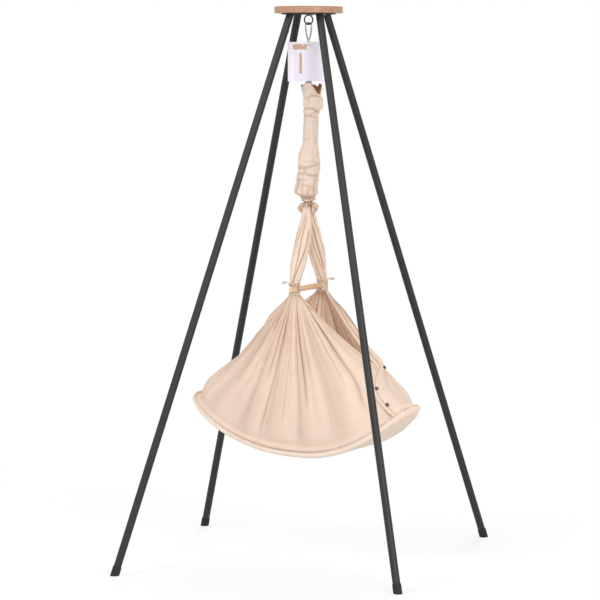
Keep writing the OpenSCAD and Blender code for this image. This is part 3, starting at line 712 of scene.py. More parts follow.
@dataclass(frozen=True)
class Twine:
    """Soft cotton cord or thread, mottled along its strands."""

    name: str
    pale: str
    dark: str

    def make(self) -> bpy.types.Material:
        """Builds the material."""
        s = Surface(self.name)
        where = s.coords()
        fluff = s.noise(where, scale=1400.0, detail=2, rough=0.6)
        mottle = s.noise(where, scale=180.0, detail=4, rough=0.6)
        colour = s.blend(mottle.between(0.35, 0.72), linear(self.pale), linear(self.dark))
        return s.finish(Base_Color=colour, Roughness=mottle * 0.1 + 0.80, Specular_IOR_Level=0.2,
                        Sheen_Weight=0.3, Normal=s.bump(fluff, strength=0.5, distance=0.0004))


@dataclass(frozen=True)
class CardPaper:
    """Uncoated card with a painted highlight, a paler strip along its folded left edge, and a plain tan block and
    bar on its front.
    """

    name: str
    paper: str = "E0DAE6"
    # Colour of the painted highlight along the fold
    margin: str = "F0EBF4"
    ink: str = "B98F66"

    # Left, right, low and high edge of the block and the bar
    blocks: tuple = ((-0.0555, -0.0060, 1.8290, 1.8478), (-0.0330, -0.0235, 1.7440, 1.8170))
    # Where the painted highlight fades into the paper, across the card
    painted_highlight_edge: tuple = (-0.053, -0.047)
    front_from: float = 0.0265

    def make(self) -> bpy.types.Material:
        """Builds the material."""
        s = Surface(self.name)
        where = s.coords()
        across = s.vector("DOT_PRODUCT", where, tuple(around(RIGHT_AZIMUTH)), output="Value")
        up = s.node("ShaderNodeSeparateXYZ", None, {0: where}, "Z")
        outward = s.vector("DOT_PRODUCT", where, tuple(around(VIEW_AZIMUTH)), output="Value")
        front = outward > self.front_from
        fibres = s.noise(s.stretched((60, 60, 320)), scale=6.0, detail=4, rough=0.7)
        soil = s.noise(where, scale=22.0, detail=3)
        # Painted highlight: paler along the folded left edge, as light on the fold's side
        colour = s.blend(across.between(*self.painted_highlight_edge), linear(self.margin),
                         linear(self.paper))
        colour = s.blend(fibres.between(0.4, 0.8) * 0.10 + soil.between(0.5, 0.9) * 0.10,
                         colour, linear("C9BFD2"))
        for left, right, low, high in self.blocks:
            inside = (across > left) * (across < right) * (up > low) * (up < high) * front
            colour = s.blend(inside * (soil * 0.25 + 0.72), colour, linear(self.ink))
        return s.finish(Base_Color=colour, Roughness=fibres * 0.1 + 0.74, Specular_IOR_Level=0.3,
                        Normal=s.bump(fibres, strength=0.2, distance=0.0002))


@dataclass
class Finishes:
    """Every material of the object, made once."""

    disc: Any = Wood("beech_disc", Grain.ALONG_X, "B99078", "AA8062", "8F654A")
    bar: Any = Wood("beech_bar", Grain.ALONG_Y, "ECC8A2", "E0B68C", "C99A6E")
    frame: Any = Coat("powder_coat", "1A1A19", "292928", 0.50)
    black: Any = Coat("black_steel", "242526", "3A3A3A", 0.36)
    zinc: Any = Metal("zinc_steel", "B9BABA", "8C8B88", 0.34)
    button: Any = Metal("button_steel", "5A5C5D", "454647", 0.45)
    spring: Any = Metal("spring_steel", "A9A8A4", "77746E", 0.30)
    brass: Any = Metal("antique_brass", "6E5A42", "3A2F24", 0.42)
    rubber: Any = Rubber("black_rubber")
    # Each cotton's second colour is its painted shade in the folds
    cloth: Any = Cotton("cotton_cloth", "FDECDC", "A8764C", through=0.30)
    band: Any = Cotton("cotton_band", "EBD9C9", "B8936F", 760.0, 0.8)
    cover: Any = Cotton("mattress_cover", "F6F2EC", "D9CFC2", 620.0, 0.5)
    cord: Any = Twine("cotton_cord", "E9D8C6", "AD8863")
    thread: Any = Twine("sewing_thread", "D9C3AB", "C0A080")
    rope: Any = Twine("safety_rope", "EDEBE6", "C9C6BF")
    paper: Any = CardPaper("card_paper")

    def __post_init__(self) -> None:
        """Turns each recipe into its material, and lists the materials by slot."""
        recipes = dict(vars(self))
        self.by_slot = {recipe.name: recipe.make() for recipe in recipes.values()}
        for name, recipe in recipes.items():
            setattr(self, name, self.by_slot[recipe.name])


# ---- Geometry trees --------------------------

class Growth(Nodes):
    """A Geometry Nodes tree with named inputs for its sizes."""

    name: str
    sizes: Sequence[str]
    count: str | None = None

    def __init__(self) -> None:
        """Makes the tree: inputs, what it grows, and an end that makes real geometry of it."""
        group = bpy.data.node_groups.new(self.name, "GeometryNodeTree")
        super().__init__(group)
        kinds = [("Geometry", "Geometry"), ("Finish", "Material"),
                 *((label, "Float") for label in self.sizes)]
        if self.count:
            kinds.append((self.count, "Int"))
        for label, kind in kinds:
            group.interface.new_socket(label, in_out="INPUT", socket_type="NodeSocket" + kind)
        group.interface.new_socket("Geometry", in_out="OUTPUT", socket_type="NodeSocketGeometry")
        entry = group.nodes.new("NodeGroupInput")
        self.inputs = {socket.name: Value(self, socket) for socket in entry.outputs if socket.name}
        smooth = self.node("GeometryNodeSetShadeSmooth", None, {"Geometry": self.grow()})
        real = self.node("GeometryNodeRealizeInstances", None, {"Geometry": smooth})
        dressed = self.node("GeometryNodeSetMaterial", None,
                            {"Geometry": real, "Material": self.inputs["Finish"]})
        self.node("NodeGroupOutput", None, {0: dressed})

    def grow(self) -> Value:
        """Geometry that the tree makes."""
        raise NotImplementedError

    def curve(self) -> Value:
        """The incoming path, resampled at the input named Step."""
        curve = self.node("GeometryNodeMeshToCurve", None, {"Mesh": self.inputs["Geometry"]})
        return self.node("GeometryNodeResampleCurve", {"mode": "LENGTH"},
                         {"Curve": curve, "Length": self.inputs["Step"]})

    def copies(self, along: str) -> tuple[Value, Value, Value]:
        """Copies of the path, as many as the input for the count says.

        Args:
            along: "Length" or "Factor", for how the place along the path is given.

        Returns:
            The copies, each one's number, and the place along it.
        """
        made = self.node("GeometryNodeDuplicateElements", {"domain": "SPLINE"},
                         {"Geometry": self.curve(), "Amount": self.inputs[self.count]})
        place = self.node("GeometryNodeSplineParameter", None, None, along)
        return made, made.beside("Duplicate Index"), place

    def moved_tube(self, curve: Value, offset: Value, sides: int) -> Value:
        """Closed tube along a curve whose points are moved first."""
        moved = self.node("GeometryNodeSetPosition", None, {"Geometry": curve, "Offset": offset})
        return self.tube(moved, self.inputs["Thickness"], sides)

    def circle(self, radius: Value, sides: int) -> Value:
        """Circle about the origin."""
        return self.node("GeometryNodeCurvePrimitiveCircle", None,
                         {"Resolution": sides, "Radius": radius})

    def tube(self, curve: Value, radius: Value, sides: int) -> Value:
        """Closed tube along a curve."""
        return self.node("GeometryNodeCurveToMesh", None,
                         {"Curve": curve, "Profile Curve": self.circle(radius, sides),
                          "Fill Caps": True})

    def facing(self, axis: str, direction: Value) -> Value:
        """Rotation that points an axis in a direction."""
        return self.node("FunctionNodeAlignRotationToVector", {"axis": axis},
                         {"Vector": direction}, "Rotation")

    def apply(self, name: str, source: bpy.types.Object, finish: bpy.types.Material,
              **sizes: float | int) -> bpy.types.Object:
        """Runs the tree on an object and keeps the result as a plain mesh.

        Args:
            name: Name of the finished piece.
            source: Object that brings the path or points. It is removed.
            finish: Material of the piece.
            sizes: Values for the tree's inputs, with "_" for a space.

        Returns:
            The finished piece.
        """
        modifier = source.modifiers.new("growth", "NODES")
        modifier.node_group = self.tree
        given = {key.replace("_", " "): value for key, value in sizes.items()} | {"Finish": finish}
        for item in self.tree.interface.items_tree:
            if item.in_out == "INPUT" and item.name in given:
                modifier[item.identifier] = given[item.name]
        graph = bpy.context.evaluated_depsgraph_get()
        graph.update()
        mesh = bpy.data.meshes.new_from_object(source.evaluated_get(graph), depsgraph=graph)
        bpy.data.objects.remove(source)
        mesh.name = name
        return new_object(name, mesh)


class CoilTree(Growth):
    """A coil of wire: the main spring."""

    name = "coil"
    sizes = ("Turns", "Radius", "Height", "Low", "Wire")

    def grow(self) -> Value:
        """A spiral that rises from Low, as a tube."""
        i = self.inputs
        spiral = self.node("GeometryNodeCurveSpiral", None,
                           {"Resolution": 20, "Rotations": i["Turns"], "Start Radius": i["Radius"],
                            "End Radius": i["Radius"], "Height": i["Height"]})
        lift = self.node("ShaderNodeCombineXYZ", None, {"Z": i["Low"]})
        raised = self.node("GeometryNodeTransform", None, {"Geometry": spiral, "Translation": lift})
        return self.tube(raised, i["Wire"], 8)


class StrandTree(Growth):
    """Strands that are laid round a path, as in a twisted cord."""

    name = "strands"
    sizes = ("Step", "Twist", "Lay", "Thickness")
    count = "Strands"

    def grow(self) -> Value:
        """Copies of the path, each turned about it and pushed out to the lay's radius."""
        i = self.inputs
        copies, which, along = self.copies("Length")
        angle = along * i["Twist"] + which / i["Strands"] * TURN
        normal = self.node("GeometryNodeInputNormal")
        side = self.vector("CROSS_PRODUCT", self.node("GeometryNodeInputTangent"), normal)
        offset = self.vector("ADD", self.scaled(normal, angle.cosine() * i["Lay"]),
                             self.scaled(side, angle.sine() * i["Lay"]))
        return self.moved_tube(copies, offset, 6)


class StitchTree(Growth):
    """A row of stitches along a path."""

    name = "stitches"
    sizes = ("Step", "Half Length", "Half Width")

    def grow(self) -> Value:
        """Small rounded stitches, in line with the path."""
        i = self.inputs
        stitch = self.node("GeometryNodeMeshIcoSphere", None, {"Radius": 1.0, "Subdivisions": 1})
        turn = self.facing("X", self.node("GeometryNodeInputTangent"))
        size = self.node("ShaderNodeCombineXYZ", None,
                         {"X": i["Half Length"], "Y": i["Half Width"], "Z": i["Half Width"]})
        return self.node("GeometryNodeInstanceOnPoints", None,
                         {"Points": self.curve(), "Instance": stitch, "Rotation": turn,
                          "Scale": size})


class FrayTree(Growth):
    """Loose threads that spread from the end of a cord."""

    name = "fray"
    sizes = ("Step", "Spread", "Thickness")
    count = "Threads"

    def grow(self) -> Value:
        """Copies of a short path that wander further apart along it."""
        copies, which, along = self.copies("Factor")
        lean = self.node("FunctionNodeRandomValue", {"data_type": "FLOAT_VECTOR"},
                         {"Min": (-1.0, -1.0, -1.0), "Max": (1.0, 1.0, 0.6), "ID": which,
                          "Seed": 11}, "Value")
        amount = (along * along * 0.8 + along * 0.2) * self.inputs["Spread"]
        return self.moved_tube(copies, self.scaled(lean, amount), 3)


class StudTree(Growth):
    """Press-stud heads at given points, facing each point's direction."""

    name = "studs"
    sizes = ("Radius", "Rim")

    def grow(self) -> Value:
        """A domed head with a rim on every point."""
        i = self.inputs
        dome = self.node("GeometryNodeMeshUVSphere", None,
                         {"Segments": 32, "Rings": 16, "Radius": i["Radius"]})
        low = self.node("GeometryNodeTransform", None,
                        {"Geometry": dome, "Scale": (0.86, 0.86, 0.42)})
        rim = self.tube(self.circle(i["Radius"], 32), i["Rim"], 8)
        head = self.node("GeometryNodeJoinGeometry")
        for part in (low, rim):
            self.tree.links.new(part.socket, head.socket.node.inputs[0])
        out = self.node("GeometryNodeInputNamedAttribute", {"data_type": "FLOAT_VECTOR"},
                        {"Name": "out"})
        points = self.node("GeometryNodeMeshToPoints", None, {"Mesh": i["Geometry"]})
        return self.node("GeometryNodeInstanceOnPoints", None,
                         {"Points": points, "Instance": head, "Rotation": self.facing("Z", out)})


@dataclass
class Trees:
    """The geometry trees, each made once."""

    coil: Growth = field(default_factory=CoilTree)
    strands: Growth = field(default_factory=StrandTree)
    stitches: Growth = field(default_factory=StitchTree)
    fray: Growth = field(default_factory=FrayTree)
    studs: Growth = field(default_factory=StudTree)

    def cord(self, name: str, path: np.ndarray, finish: bpy.types.Material, diameter: float,
             strands: int = 3, closed: bool = False) -> bpy.types.Object:
        """Twisted cord along a path, with strands that touch each other.

        Args:
            name: Name of the piece.
            path: Points along its middle.
            finish: Its material.
            diameter: Its thickness.
            strands: How many strands it has, 2 or 3.
            closed: Whether its ends join.

        Returns:
            The cord.
        """
        lay = diameter / 2 * {2: 0.5, 3: 0.52}[strands]
        return self.strands.apply(name, path_object(name + "_path", [path], closed), finish,
                                  Step=diameter * 0.4, Strands=strands, Twist=TURN / (diameter * 4),
                                  Lay=lay, Thickness=diameter / 2 - lay)

    def piping(self, name: str, path: np.ndarray, finish: bpy.types.Material,
               radius: float) -> bpy.types.Object:
        """Plain piping along a closed path."""
        return self.strands.apply(name, path_object(name + "_path", [path], closed=True), finish,
                                  Step=0.006, Strands=1, Twist=0.0, Lay=0.0, Thickness=radius)

    def knot(self, name: str, centre: np.ndarray, size: float, finish: bpy.types.Material,
             diameter: float, strands: int = 3) -> bpy.types.Object:
        """Small round knot of cord, on a closed trefoil path.

        Args:
            name: Name of the piece.
            centre: Middle of the knot.
            size: Reach of the path from its middle.
            finish: Its material.
            diameter: Thickness of its cord.
            strands: How many strands the cord has.

        Returns:
            The knot.
        """
        t = np.linspace(0, TURN, 40, endpoint=False)
        x = (np.sin(t) + 2 * np.sin(2 * t)) / 3
        y = (np.cos(t) - 2 * np.cos(2 * t)) / 3
        path = centre + size * np.stack([x, -np.sin(3 * t) * 0.5, y], -1)
        return self.cord(name, path, finish, diameter, strands, closed=True)


# ---- Object: what every sub-assembly shares --

class Body(Enum):
    """CAD bodies that the new pieces ride on."""

    STAND = "stand"
    HANGER = "spring_hanger"
    LOW = "spring_low"
    CRADLE = "cradle"


def settle(piece: bpy.types.Object, body: Body | None, slot: str, *nodes: str) -> bpy.types.Object:
    """Puts a finished piece in its place in the frame.

    Args:
        piece: The piece.
        body: Body that it rides on, or None to leave it on no body.
        slot: Not used.
        nodes: CAD nodes that it stands for.

    Returns:
        The piece.
    """
    if body is not None:
        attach(piece, body.value)
    if nodes:
        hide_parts(*nodes)
    LOG.info("%s: %d points", piece.name, len(piece.data.vertices))
    return piece


def stretch(piece: bpy.types.Object) -> None:
    """Bakes a piece's world transform into its mesh."""
    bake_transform(piece)


def ellipse_winding(centre: Sequence[float], radii: tuple[float, float],
                    keys: Sequence[tuple[float, float]], step: float = 12.0) -> np.ndarray:
    """Path that winds round an upright bundle.

    Args:
        centre: Middle of the bundle.
        radii: Radii of the path along X and Y.
        keys: (turn, height) pairs that the path eases through.
        step: Degrees from one point to the next.

    Returns:
        The points of the path.
    """
    turns, heights = zip(*keys)
    turn = np.arange(turns[0], turns[-1] + 1e-6, step / 360)
    z = outline_at(list(zip(turns, heights)), turn, 1)
    return np.stack([centre[0] + radii[0] * np.cos(TURN * turn),
                     centre[1] + radii[1] * np.sin(TURN * turn), centre[2] + z], -1)


# ---- Stand and hardware ----------------------

@dataclass
class Hardware:
    """The frame's own hard parts, which keep their CAD shapes and get their finishes."""

    finishes: Finishes

    def dress(self) -> None:
        """Gives each CAD node the finish of its slot."""
        for part in frame["record"]["subparts"]:
            node = frame["nodes"][part["node"]]
            node.data.materials.clear()
            node.data.materials.append(self.finishes.by_slot[part["material_slot"]])
        LOG.info("dressed %d CAD nodes", len(frame["nodes"]))

    def build_leaf_springs(self) -> None:
        """Splits the leaf springs into a piece for each button, from the faces nearest it."""
        node = "button_leaf_springs"
        presses = [joint for joint in frame["joints"] if joint["name"].endswith("_press")]
        middles = [sum(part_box(joint["child"]), Vector()) / 2 for joint in presses]

        def nearest(face: bmesh.types.BMFace) -> int:
            """Number of the button that a face lies nearest to."""
            centre = face.calc_center_median()
            return int(np.argmin([(centre - middle).length for middle in middles]))

        whole = bmesh.new()
        whole.from_mesh(frame["nodes"][node].data)
        bmesh.ops.remove_doubles(whole, verts=whole.verts, dist=1e-6)
        for k, joint in enumerate(presses):
            part = whole.copy()
            others = [face for face in part.faces if nearest(face) != k]
            bmesh.ops.delete(part, geom=others, context="FACES")
            name = joint["child"] + "_leaf"
            mesh = bpy.data.meshes.new(name)
            part.to_mesh(mesh)
            part.free()
            mesh.materials.append(self.finishes.spring)
            piece = settle(new_object(name, mesh), Body.STAND, "spring_steel", node)
            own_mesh(piece)
        whole.free()


# ---- Spring, sleeve and card string ----------

@dataclass
class SpringLine:
    """Main spring, the cord inside it, the sleeve over it and the card's string."""

    finishes: Finishes
    trees: Trees
    wire: float = 0.0036
    coil_radius: float = 0.0112
    gap: float = 0.0002
    rope: float = 0.005
    rope_helix: float = 0.005
    rope_turns: int = 15
    string: float = 0.0016
    string_radius: float = 0.02365
    string_forward: float = 0.01165
    string_height: float = 1.846
    lean: float = 27.0
    inside: float = 0.0155
    sleeve_grid: tuple = (250, 150)
    lining_rows: int = 60
    wall: float = 0.0018
    notch_at: float = -18.0
    notch_depth: float = 0.036
    crease_share: float = 0.72
    lip_share: float = 0.42
    # Depth of a cross crease and of an upright one that get the darkest painted shade
    darkest_shade_depths: tuple = (0.0085, 0.006)
    gathers: int = 26
    gather_depth: float = 0.0014
    unevenness: float = 0.0011
    # Share of the sleeve's height, radius and shift in the direction it leans
    profile: tuple = (
        (0.00, 0.0185, 0.000), (0.02, 0.0265, -0.003), (0.06, 0.0440, -0.007),
        (0.10, 0.0425, -0.006), (0.18, 0.0400, -0.002), (0.24, 0.0395, -0.001),
        (0.283, 0.0405, 0.001), (0.34, 0.0395, 0.001), (0.387, 0.0380, 0.001),
        (0.43, 0.0330, 0.004), (0.47, 0.0292, 0.0065), (0.55, 0.0272, 0.008),
        (0.72, 0.0268, 0.008), (0.76, 0.0305, 0.011), (0.80, 0.0345, 0.016),
        (0.86, 0.0355, 0.018), (0.90, 0.0325, 0.0145), (0.95, 0.0355, 0.0135),
        (1.00, 0.0350, 0.0115))
    # Cross creases: height, tilt, width, depth, azimuth where they are deepest, and spread
    cross_creases: tuple = (
        (1.6640, 0.006, 0.0045, 0.0075, -40, 120), (1.6810, -0.005, 0.0035, 0.0050, 10, 70),
        (1.6490, 0.004, 0.0035, 0.0045, 20, 60), (1.6160, -0.006, 0.0050, 0.0075, -60, 130),
        (1.6060, 0.007, 0.0040, 0.0055, -20, 80), (1.5920, -0.004, 0.0045, 0.0065, -80, 110),
        (1.5730, 0.005, 0.0040, 0.0030, -30, 60), (1.4100, 0.007, 0.0050, 0.0075, -70, 130),
        (1.4260, -0.005, 0.0040, 0.0045, -20, 70), (1.3810, -0.006, 0.0050, 0.0070, -40, 120),
        (1.3620, 0.006, 0.0045, 0.0045, -110, 60), (1.3400, -0.007, 0.0045, 0.0055, -50, 80),
        (1.3270, 0.006, 0.0040, 0.0045, -20, 60), (1.6400, 0.005, 0.0045, 0.0060, 140, 90),
        (1.5100, 0.009, 0.0060, 0.0022, -95, 45), (1.4550, -0.009, 0.0060, 0.0022, -30, 45),
        (1.3950, 0.006, 0.0045, 0.0060, 130, 90))
    # Upright creases: azimuth, lowest and highest point, width and depth
    long_creases: tuple = (
        (-90, 1.300, 1.418, 5, 0.0035), (-20, 1.296, 1.375, 8, 0.0050),
        (30, 1.296, 1.350, 9, 0.0050), (-60, 1.296, 1.335, 8, 0.0045),
        (-130, 1.296, 1.372, 9, 0.0055), (80, 1.296, 1.390, 9, 0.0050),
        (160, 1.296, 1.380, 9, 0.0050), (-75, 1.470, 1.580, 7, 0.0013),
        (-35, 1.430, 1.570, 8, 0.0015), (60, 1.440, 1.590, 9, 0.0020),
        (170, 1.450, 1.600, 9, 0.0020), (-100, 1.625, 1.660, 8, 0.0030))

    def build_cords(self) -> None:
        """Makes the cord inside the spring and the card's string, before all else."""
        low, high = heights("safety_cord")
        height = np.linspace(high, low, self.rope_turns * 16)
        turn = (high - height) / (high - low) * self.rope_turns
        path = np.stack([self.rope_helix * np.cos(TURN * turn),
                         self.rope_helix * np.sin(TURN * turn), height], -1)
        rope = self.trees.cord("safety_cord_rope", path, self.finishes.rope, self.rope)
        settle(rope, None, "safety_rope", "safety_cord")
        stretch(rope)

        loop = around(VIEW_AZIMUTH + np.linspace(7, 353, 60), self.string_radius,
                      self.string_height) + around(VIEW_AZIMUTH, self.string_forward)
        string = self.trees.cord("card_string_loop", loop, self.finishes.cord, self.string, 2)
        tied = around(VIEW_AZIMUTH, self.string_forward + self.string_radius, self.string_height)
        knot = self.trees.knot("card_string_knot", tied, 0.0030, self.finishes.cord, self.string, 2)
        settle(string, Body.HANGER, "cotton_cord", "card_string")
        settle(knot, Body.HANGER, "cotton_cord")

    def build_spring(self) -> None:
        """Winds the main spring."""
        low, high = heights("main_spring")
        spring = self.trees.coil.apply(
            "main_spring_coil", path_object("coil_seed", [np.zeros((2, 3))]),
            self.finishes.spring, Turns=81.0, Radius=self.coil_radius,
            Height=high - low - self.wire - 2 * self.gap, Low=low + self.wire / 2 + self.gap,
            Wire=self.wire / 2)
        settle(spring, None, "spring_steel", "main_spring")
        stretch(spring)

    def crease_sleeve(self, azimuth: np.ndarray, z: np.ndarray) -> tuple[np.ndarray, np.ndarray]:
        """Creases of the sleeve.

        Args:
            azimuth: Azimuth of each point.
            z: Its height.

        Returns:
            How far the creases move each point outwards, and the painted shade in them.
        """
        height, mask = np.zeros_like(z), np.zeros_like(z)
        for at, tilt, width, depth, middle, spread in self.cross_creases:
            line = at + tilt * sine(azimuth - middle) + 0.0022 * sine(4 * azimuth + 9e4 * at)
            here = hill(turn_gap(azimuth, middle), spread)
            cut = crease(z - line, width) * here
            lip = hill(z - line - 1.9 * width, 1.5 * width) * here
            height += self.crease_share * depth * (self.lip_share * lip - cut)
            mask = np.maximum(mask, 0.5 * cut ** 1.5 * depth / self.darkest_shade_depths[0])
        for middle, bottom, top, width, depth in self.long_creases:
            between = ease((z - bottom) / 0.012 + 0.5) * ease((top - z) / 0.018 + 0.5)
            drift = 5 * np.sin(z * 70 + middle)
            cut = crease(turn_gap(azimuth, middle + drift), width) * between
            height -= depth * cut
            mask = np.maximum(mask, 0.5 * cut ** 1.5 * depth / self.darkest_shade_depths[1])
        return height, mask

    def sleeve_surface(self) -> tuple[np.ndarray, np.ndarray]:
        """Outer face of the scrunched sleeve.

        Returns:
            Its points, and the painted shade of each one, in the creases and in the gathers at the bottom.
        """
        low, high = heights("spring_sleeve")
        share, azimuth = round_grid(0, 1, self.sleeve_grid)
        z = low + 0.002 + share * (high - low - 0.004)
        waves = 0.04 * cosine(3 * azimuth + 900 * share) * np.minimum(1, 12 * share)
        height, mask = self.crease_sleeve(azimuth, z)
        gathers = cosine(self.gathers * azimuth + 30 * sine(azimuth * 3))
        pinch = hill(share, 0.035)
        # Painted shade in the gathers at the bottom, where the tie pinches the sleeve
        mask = np.maximum(mask, pinch * (0.75 - 0.25 * gathers))
        mouth = ease((share - 0.9) / 0.1)
        notch = hill(turn_gap(azimuth, self.notch_at), 26)
        uneven = Wrinkles(0.05, 5).at(np.radians(azimuth) * 0.03, z)
        radius = outline_at(self.profile, share, 1) * (1 + waves) + height \
            + self.gather_depth * gathers * pinch + self.unevenness * uneven \
            + mouth * (0.0030 * sine(4 * azimuth + 40) + 0.003 * notch)
        z = z + mouth * (0.0045 * sine(3 * azimuth + 10) + 0.003 * sine(8 * azimuth)
                         - self.notch_depth * notch - 0.004)
        points = around(azimuth, np.maximum(radius, self.inside + 0.002), z)
        return points + outline_at(self.profile, share, 2)[..., None] * around(self.lean), mask

    def build_sleeve(self) -> None:
        """Makes the sleeve: one scrunched tube of cloth, open at its top."""
        outer, mask = self.sleeve_surface()
        centre = outer.mean(1)
        spread = np.linalg.norm((outer - centre[:, None])[..., :2], axis=-1)
        rows = np.linspace(len(outer) - 1, 0, self.lining_rows).astype(int)
        depth = np.linspace(0, 1, self.lining_rows)[:, None]
        funnel = ease(1 - depth / 0.16)
        level = [1, 1, 0]
        middle = centre[rows][:, None] * level * funnel[..., None]
        direction = (outer[rows] - centre[rows][:, None]) * level / spread[rows][..., None]
        radius = mix(self.inside, spread[rows] - self.wall, funnel)
        inner = middle + direction * radius[..., None] + outer[rows] * [0, 0, 1]
        # Painted shade: the lining inside the mouth is dark all over
        deep = np.concatenate([mask, np.broadcast_to(0.9, inner.shape[:2])])
        shell = Shell()
        shell.grid(np.concatenate([outer, inner]), (0.21, 0.95), deep, round_columns=True,
                   round_rows=True)
        sleeve = shell.build("spring_sleeve_cloth", self.finishes.cloth)
        settle(sleeve, None, "cotton_cloth", "spring_sleeve")
        stretch(sleeve)


# ---- Sling above the cradle ------------------

@dataclass
class Sling:
    """Loop, gathered crown, two straps, and the cords that tie them."""

    finishes: Finishes
    trees: Trees
    tie_cord: float = 0.005
    bar_cord: float = 0.004
    bar_y: float = 0.110
    loop_radius: float = 0.010
    loop_cord: float = 0.005
    crown_grid: tuple = (110, 180)
    strap_grid: tuple = (170, 180)
    crown_creases: int = 12
    crown_hollows: tuple = (-84, 96)
    crown_hollow_depth: float = 0.012
    crown_hole: tuple = (-42, -0.0215)      # azimuth and height above the tie
    crown_hole_size: tuple = (13, 0.0075)
    crown_hole_depth: float = 0.013
    strap_creases: int = 10
    strap_crease_depth: float = 0.0072
    strap_twist: float = 80.0
    strap_flatness: float = 0.88
    # Height above the tie, radius and size of the lobes
    crown_rows: tuple = (
        (-0.048, 0.0200, 0.001), (-0.045, 0.0250, 0.002), (-0.038, 0.0325, 0.005),
        (-0.026, 0.0355, 0.0065), (-0.014, 0.0270, 0.004), (-0.006, 0.0160, 0.001),
        (0.001, 0.0105, 0.0), (0.008, 0.0090, 0.0), (0.014, 0.0060, 0.0))
    # Share of the way down to the bar, radius and depth of the flutes
    strap_rows: tuple = (
        (-0.17, 0.0060, 0.0), (-0.11, 0.0105, 0.001), (-0.05, 0.0145, 0.001),
        (0.00, 0.0175, 0.001), (0.10, 0.0210, 0.002), (0.25, 0.0275, 0.002), (0.42, 0.0300, 0.002),
        (0.60, 0.0290, 0.002), (0.76, 0.0235, 0.002), (0.86, 0.0178, 0.001), (0.94, 0.0174, 0.001),
        (1.00, 0.0150, 0.002))
    tie_radius: float = 0.0232
    # Turns and height of the sleeve's tie
    tie_winding: tuple = ((-0.30, -0.006), (0.6, -0.005), (1.6, 0.0), (2.75, 0.005))
    bar_tie_radii: tuple = (0.0200, 0.0180)
    # Turns and height of the cord round the bar, after its first turn
    bar_winding: tuple = (
        (2.86, 0.0122), (3.14, -0.0122), (4.20, -0.0170), (5.35, -0.0205), (5.86, -0.0130),
        (6.14, 0.0125), (6.40, 0.0135))
    # Its tail: way outwards, way back along the cord and height
    tail: tuple = ((0.0105, 0.0040, 0.0040), (0.0080, 0.0040, 0.0035), (0.0055, 0.0045, 0.0020),
                   (0.0025, 0.0035, 0.0010))

    def build_cords(self) -> None:
        """Makes the sling's loop, the sleeve's tie and the cords round the bar."""
        low, high = heights("sling_loop")
        middle = high - self.loop_radius - self.loop_cord / 2
        angle = np.radians(np.linspace(-142, 142, 26))
        top = np.stack([self.loop_radius * np.sin(angle), 0 * angle,
                        middle + self.loop_radius * np.cos(angle)], -1)
        ends = [[-0.0026, 0, low], [-0.0034, 0, low + 0.008]]
        path = np.array(ends + top.tolist() + [[-x, y, z] for x, y, z in reversed(ends)])
        loop = self.trees.cord("sling_loop_cord", path, self.finishes.cord, self.loop_cord)
        settle(loop, Body.CRADLE, "cotton_cord", "sling_loop")

        path = ellipse_winding((0, 0, sum(heights("sleeve_tie")) / 2), (self.tie_radius,) * 2,
                               self.tie_winding)
        path[:, 2] += 0.0022 * np.sin(np.radians(30) + np.arctan2(path[:, 1], path[:, 0]))
        tie = self.trees.cord("sleeve_tie_cord", path, self.finishes.cord, self.tie_cord)
        settle(tie, Body.CRADLE, "cotton_cord", "sleeve_tie")
        for side, word in ((-1, "near"), (1, "far")):
            self.build_bar_tie(side, word)

    def build_bar_tie(self, side: int, word: str) -> None:
        """Winds the cord above and below the bar, crossing over beside it, with a frayed tail.

        Args:
            side: -1 for the near strap, 1 for the far one.
            word: "near" or "far".
        """
        centre = np.array([0.0, side * self.bar_y, sum(heights("spreader_bar")) / 2])
        out = RIGHT_AZIMUTH + (180 if side < 0 else 0)
        first = out / 360
        wound = ellipse_winding(centre, self.bar_tie_radii,
                                ((first, 0.0215), (first + 0.9, 0.0200), *self.bar_winding))
        ahead, outward = unit(wound[1] - wound[0]), around(out)
        tail = [wound[0] + outward * way - ahead * back + np.array([0, 0, rise])
                for way, back, rise in self.tail]
        path = np.concatenate([np.array(tail), wound])
        name, cord = f"bar_tie_{word}", self.finishes.cord
        tie = self.trees.cord(name + "_cord", path, cord, self.bar_cord)
        brush = np.array([tail[0] + outward * s + np.array([0, 0, -s * s * 22])
                          for s in np.linspace(-0.003, 0.009, 10)])
        fray = self.trees.fray.apply(name + "_fray", path_object("brush", [brush]), cord,
                                     Step=0.002, Threads=40, Spread=0.008, Thickness=0.0004)
        knot = self.trees.knot(name + "_knot", centre + around(VIEW_AZIMUTH, 0.0195, 0.0165),
                               0.0075, cord, self.bar_cord)
        settle(tie, Body.CRADLE, "cotton_cord", name)
        settle(fray, Body.CRADLE, "cotton_cord")
        settle(knot, Body.CRADLE, "cotton_cord")

    def build_crown(self) -> bpy.types.Object:
        """Makes the gathered crown under the tie, with its lobes and the hollow between them.

        Returns:
            The crown.
        """
        lift, azimuth = round_grid(-0.048, 0.016, self.crown_grid)
        lobe = outline_at(self.crown_rows, lift, 2)
        fine = cosine(17 * azimuth + 60 * sine(2 * azimuth) + lift * 4000)
        low = ease(-lift / 0.02)
        spread = 0.25 + 0.75 * low
        radius = outline_at(self.crown_rows, lift, 1) + lobe * cosine(5 * azimuth + 50) \
            + 0.0017 * fine * spread
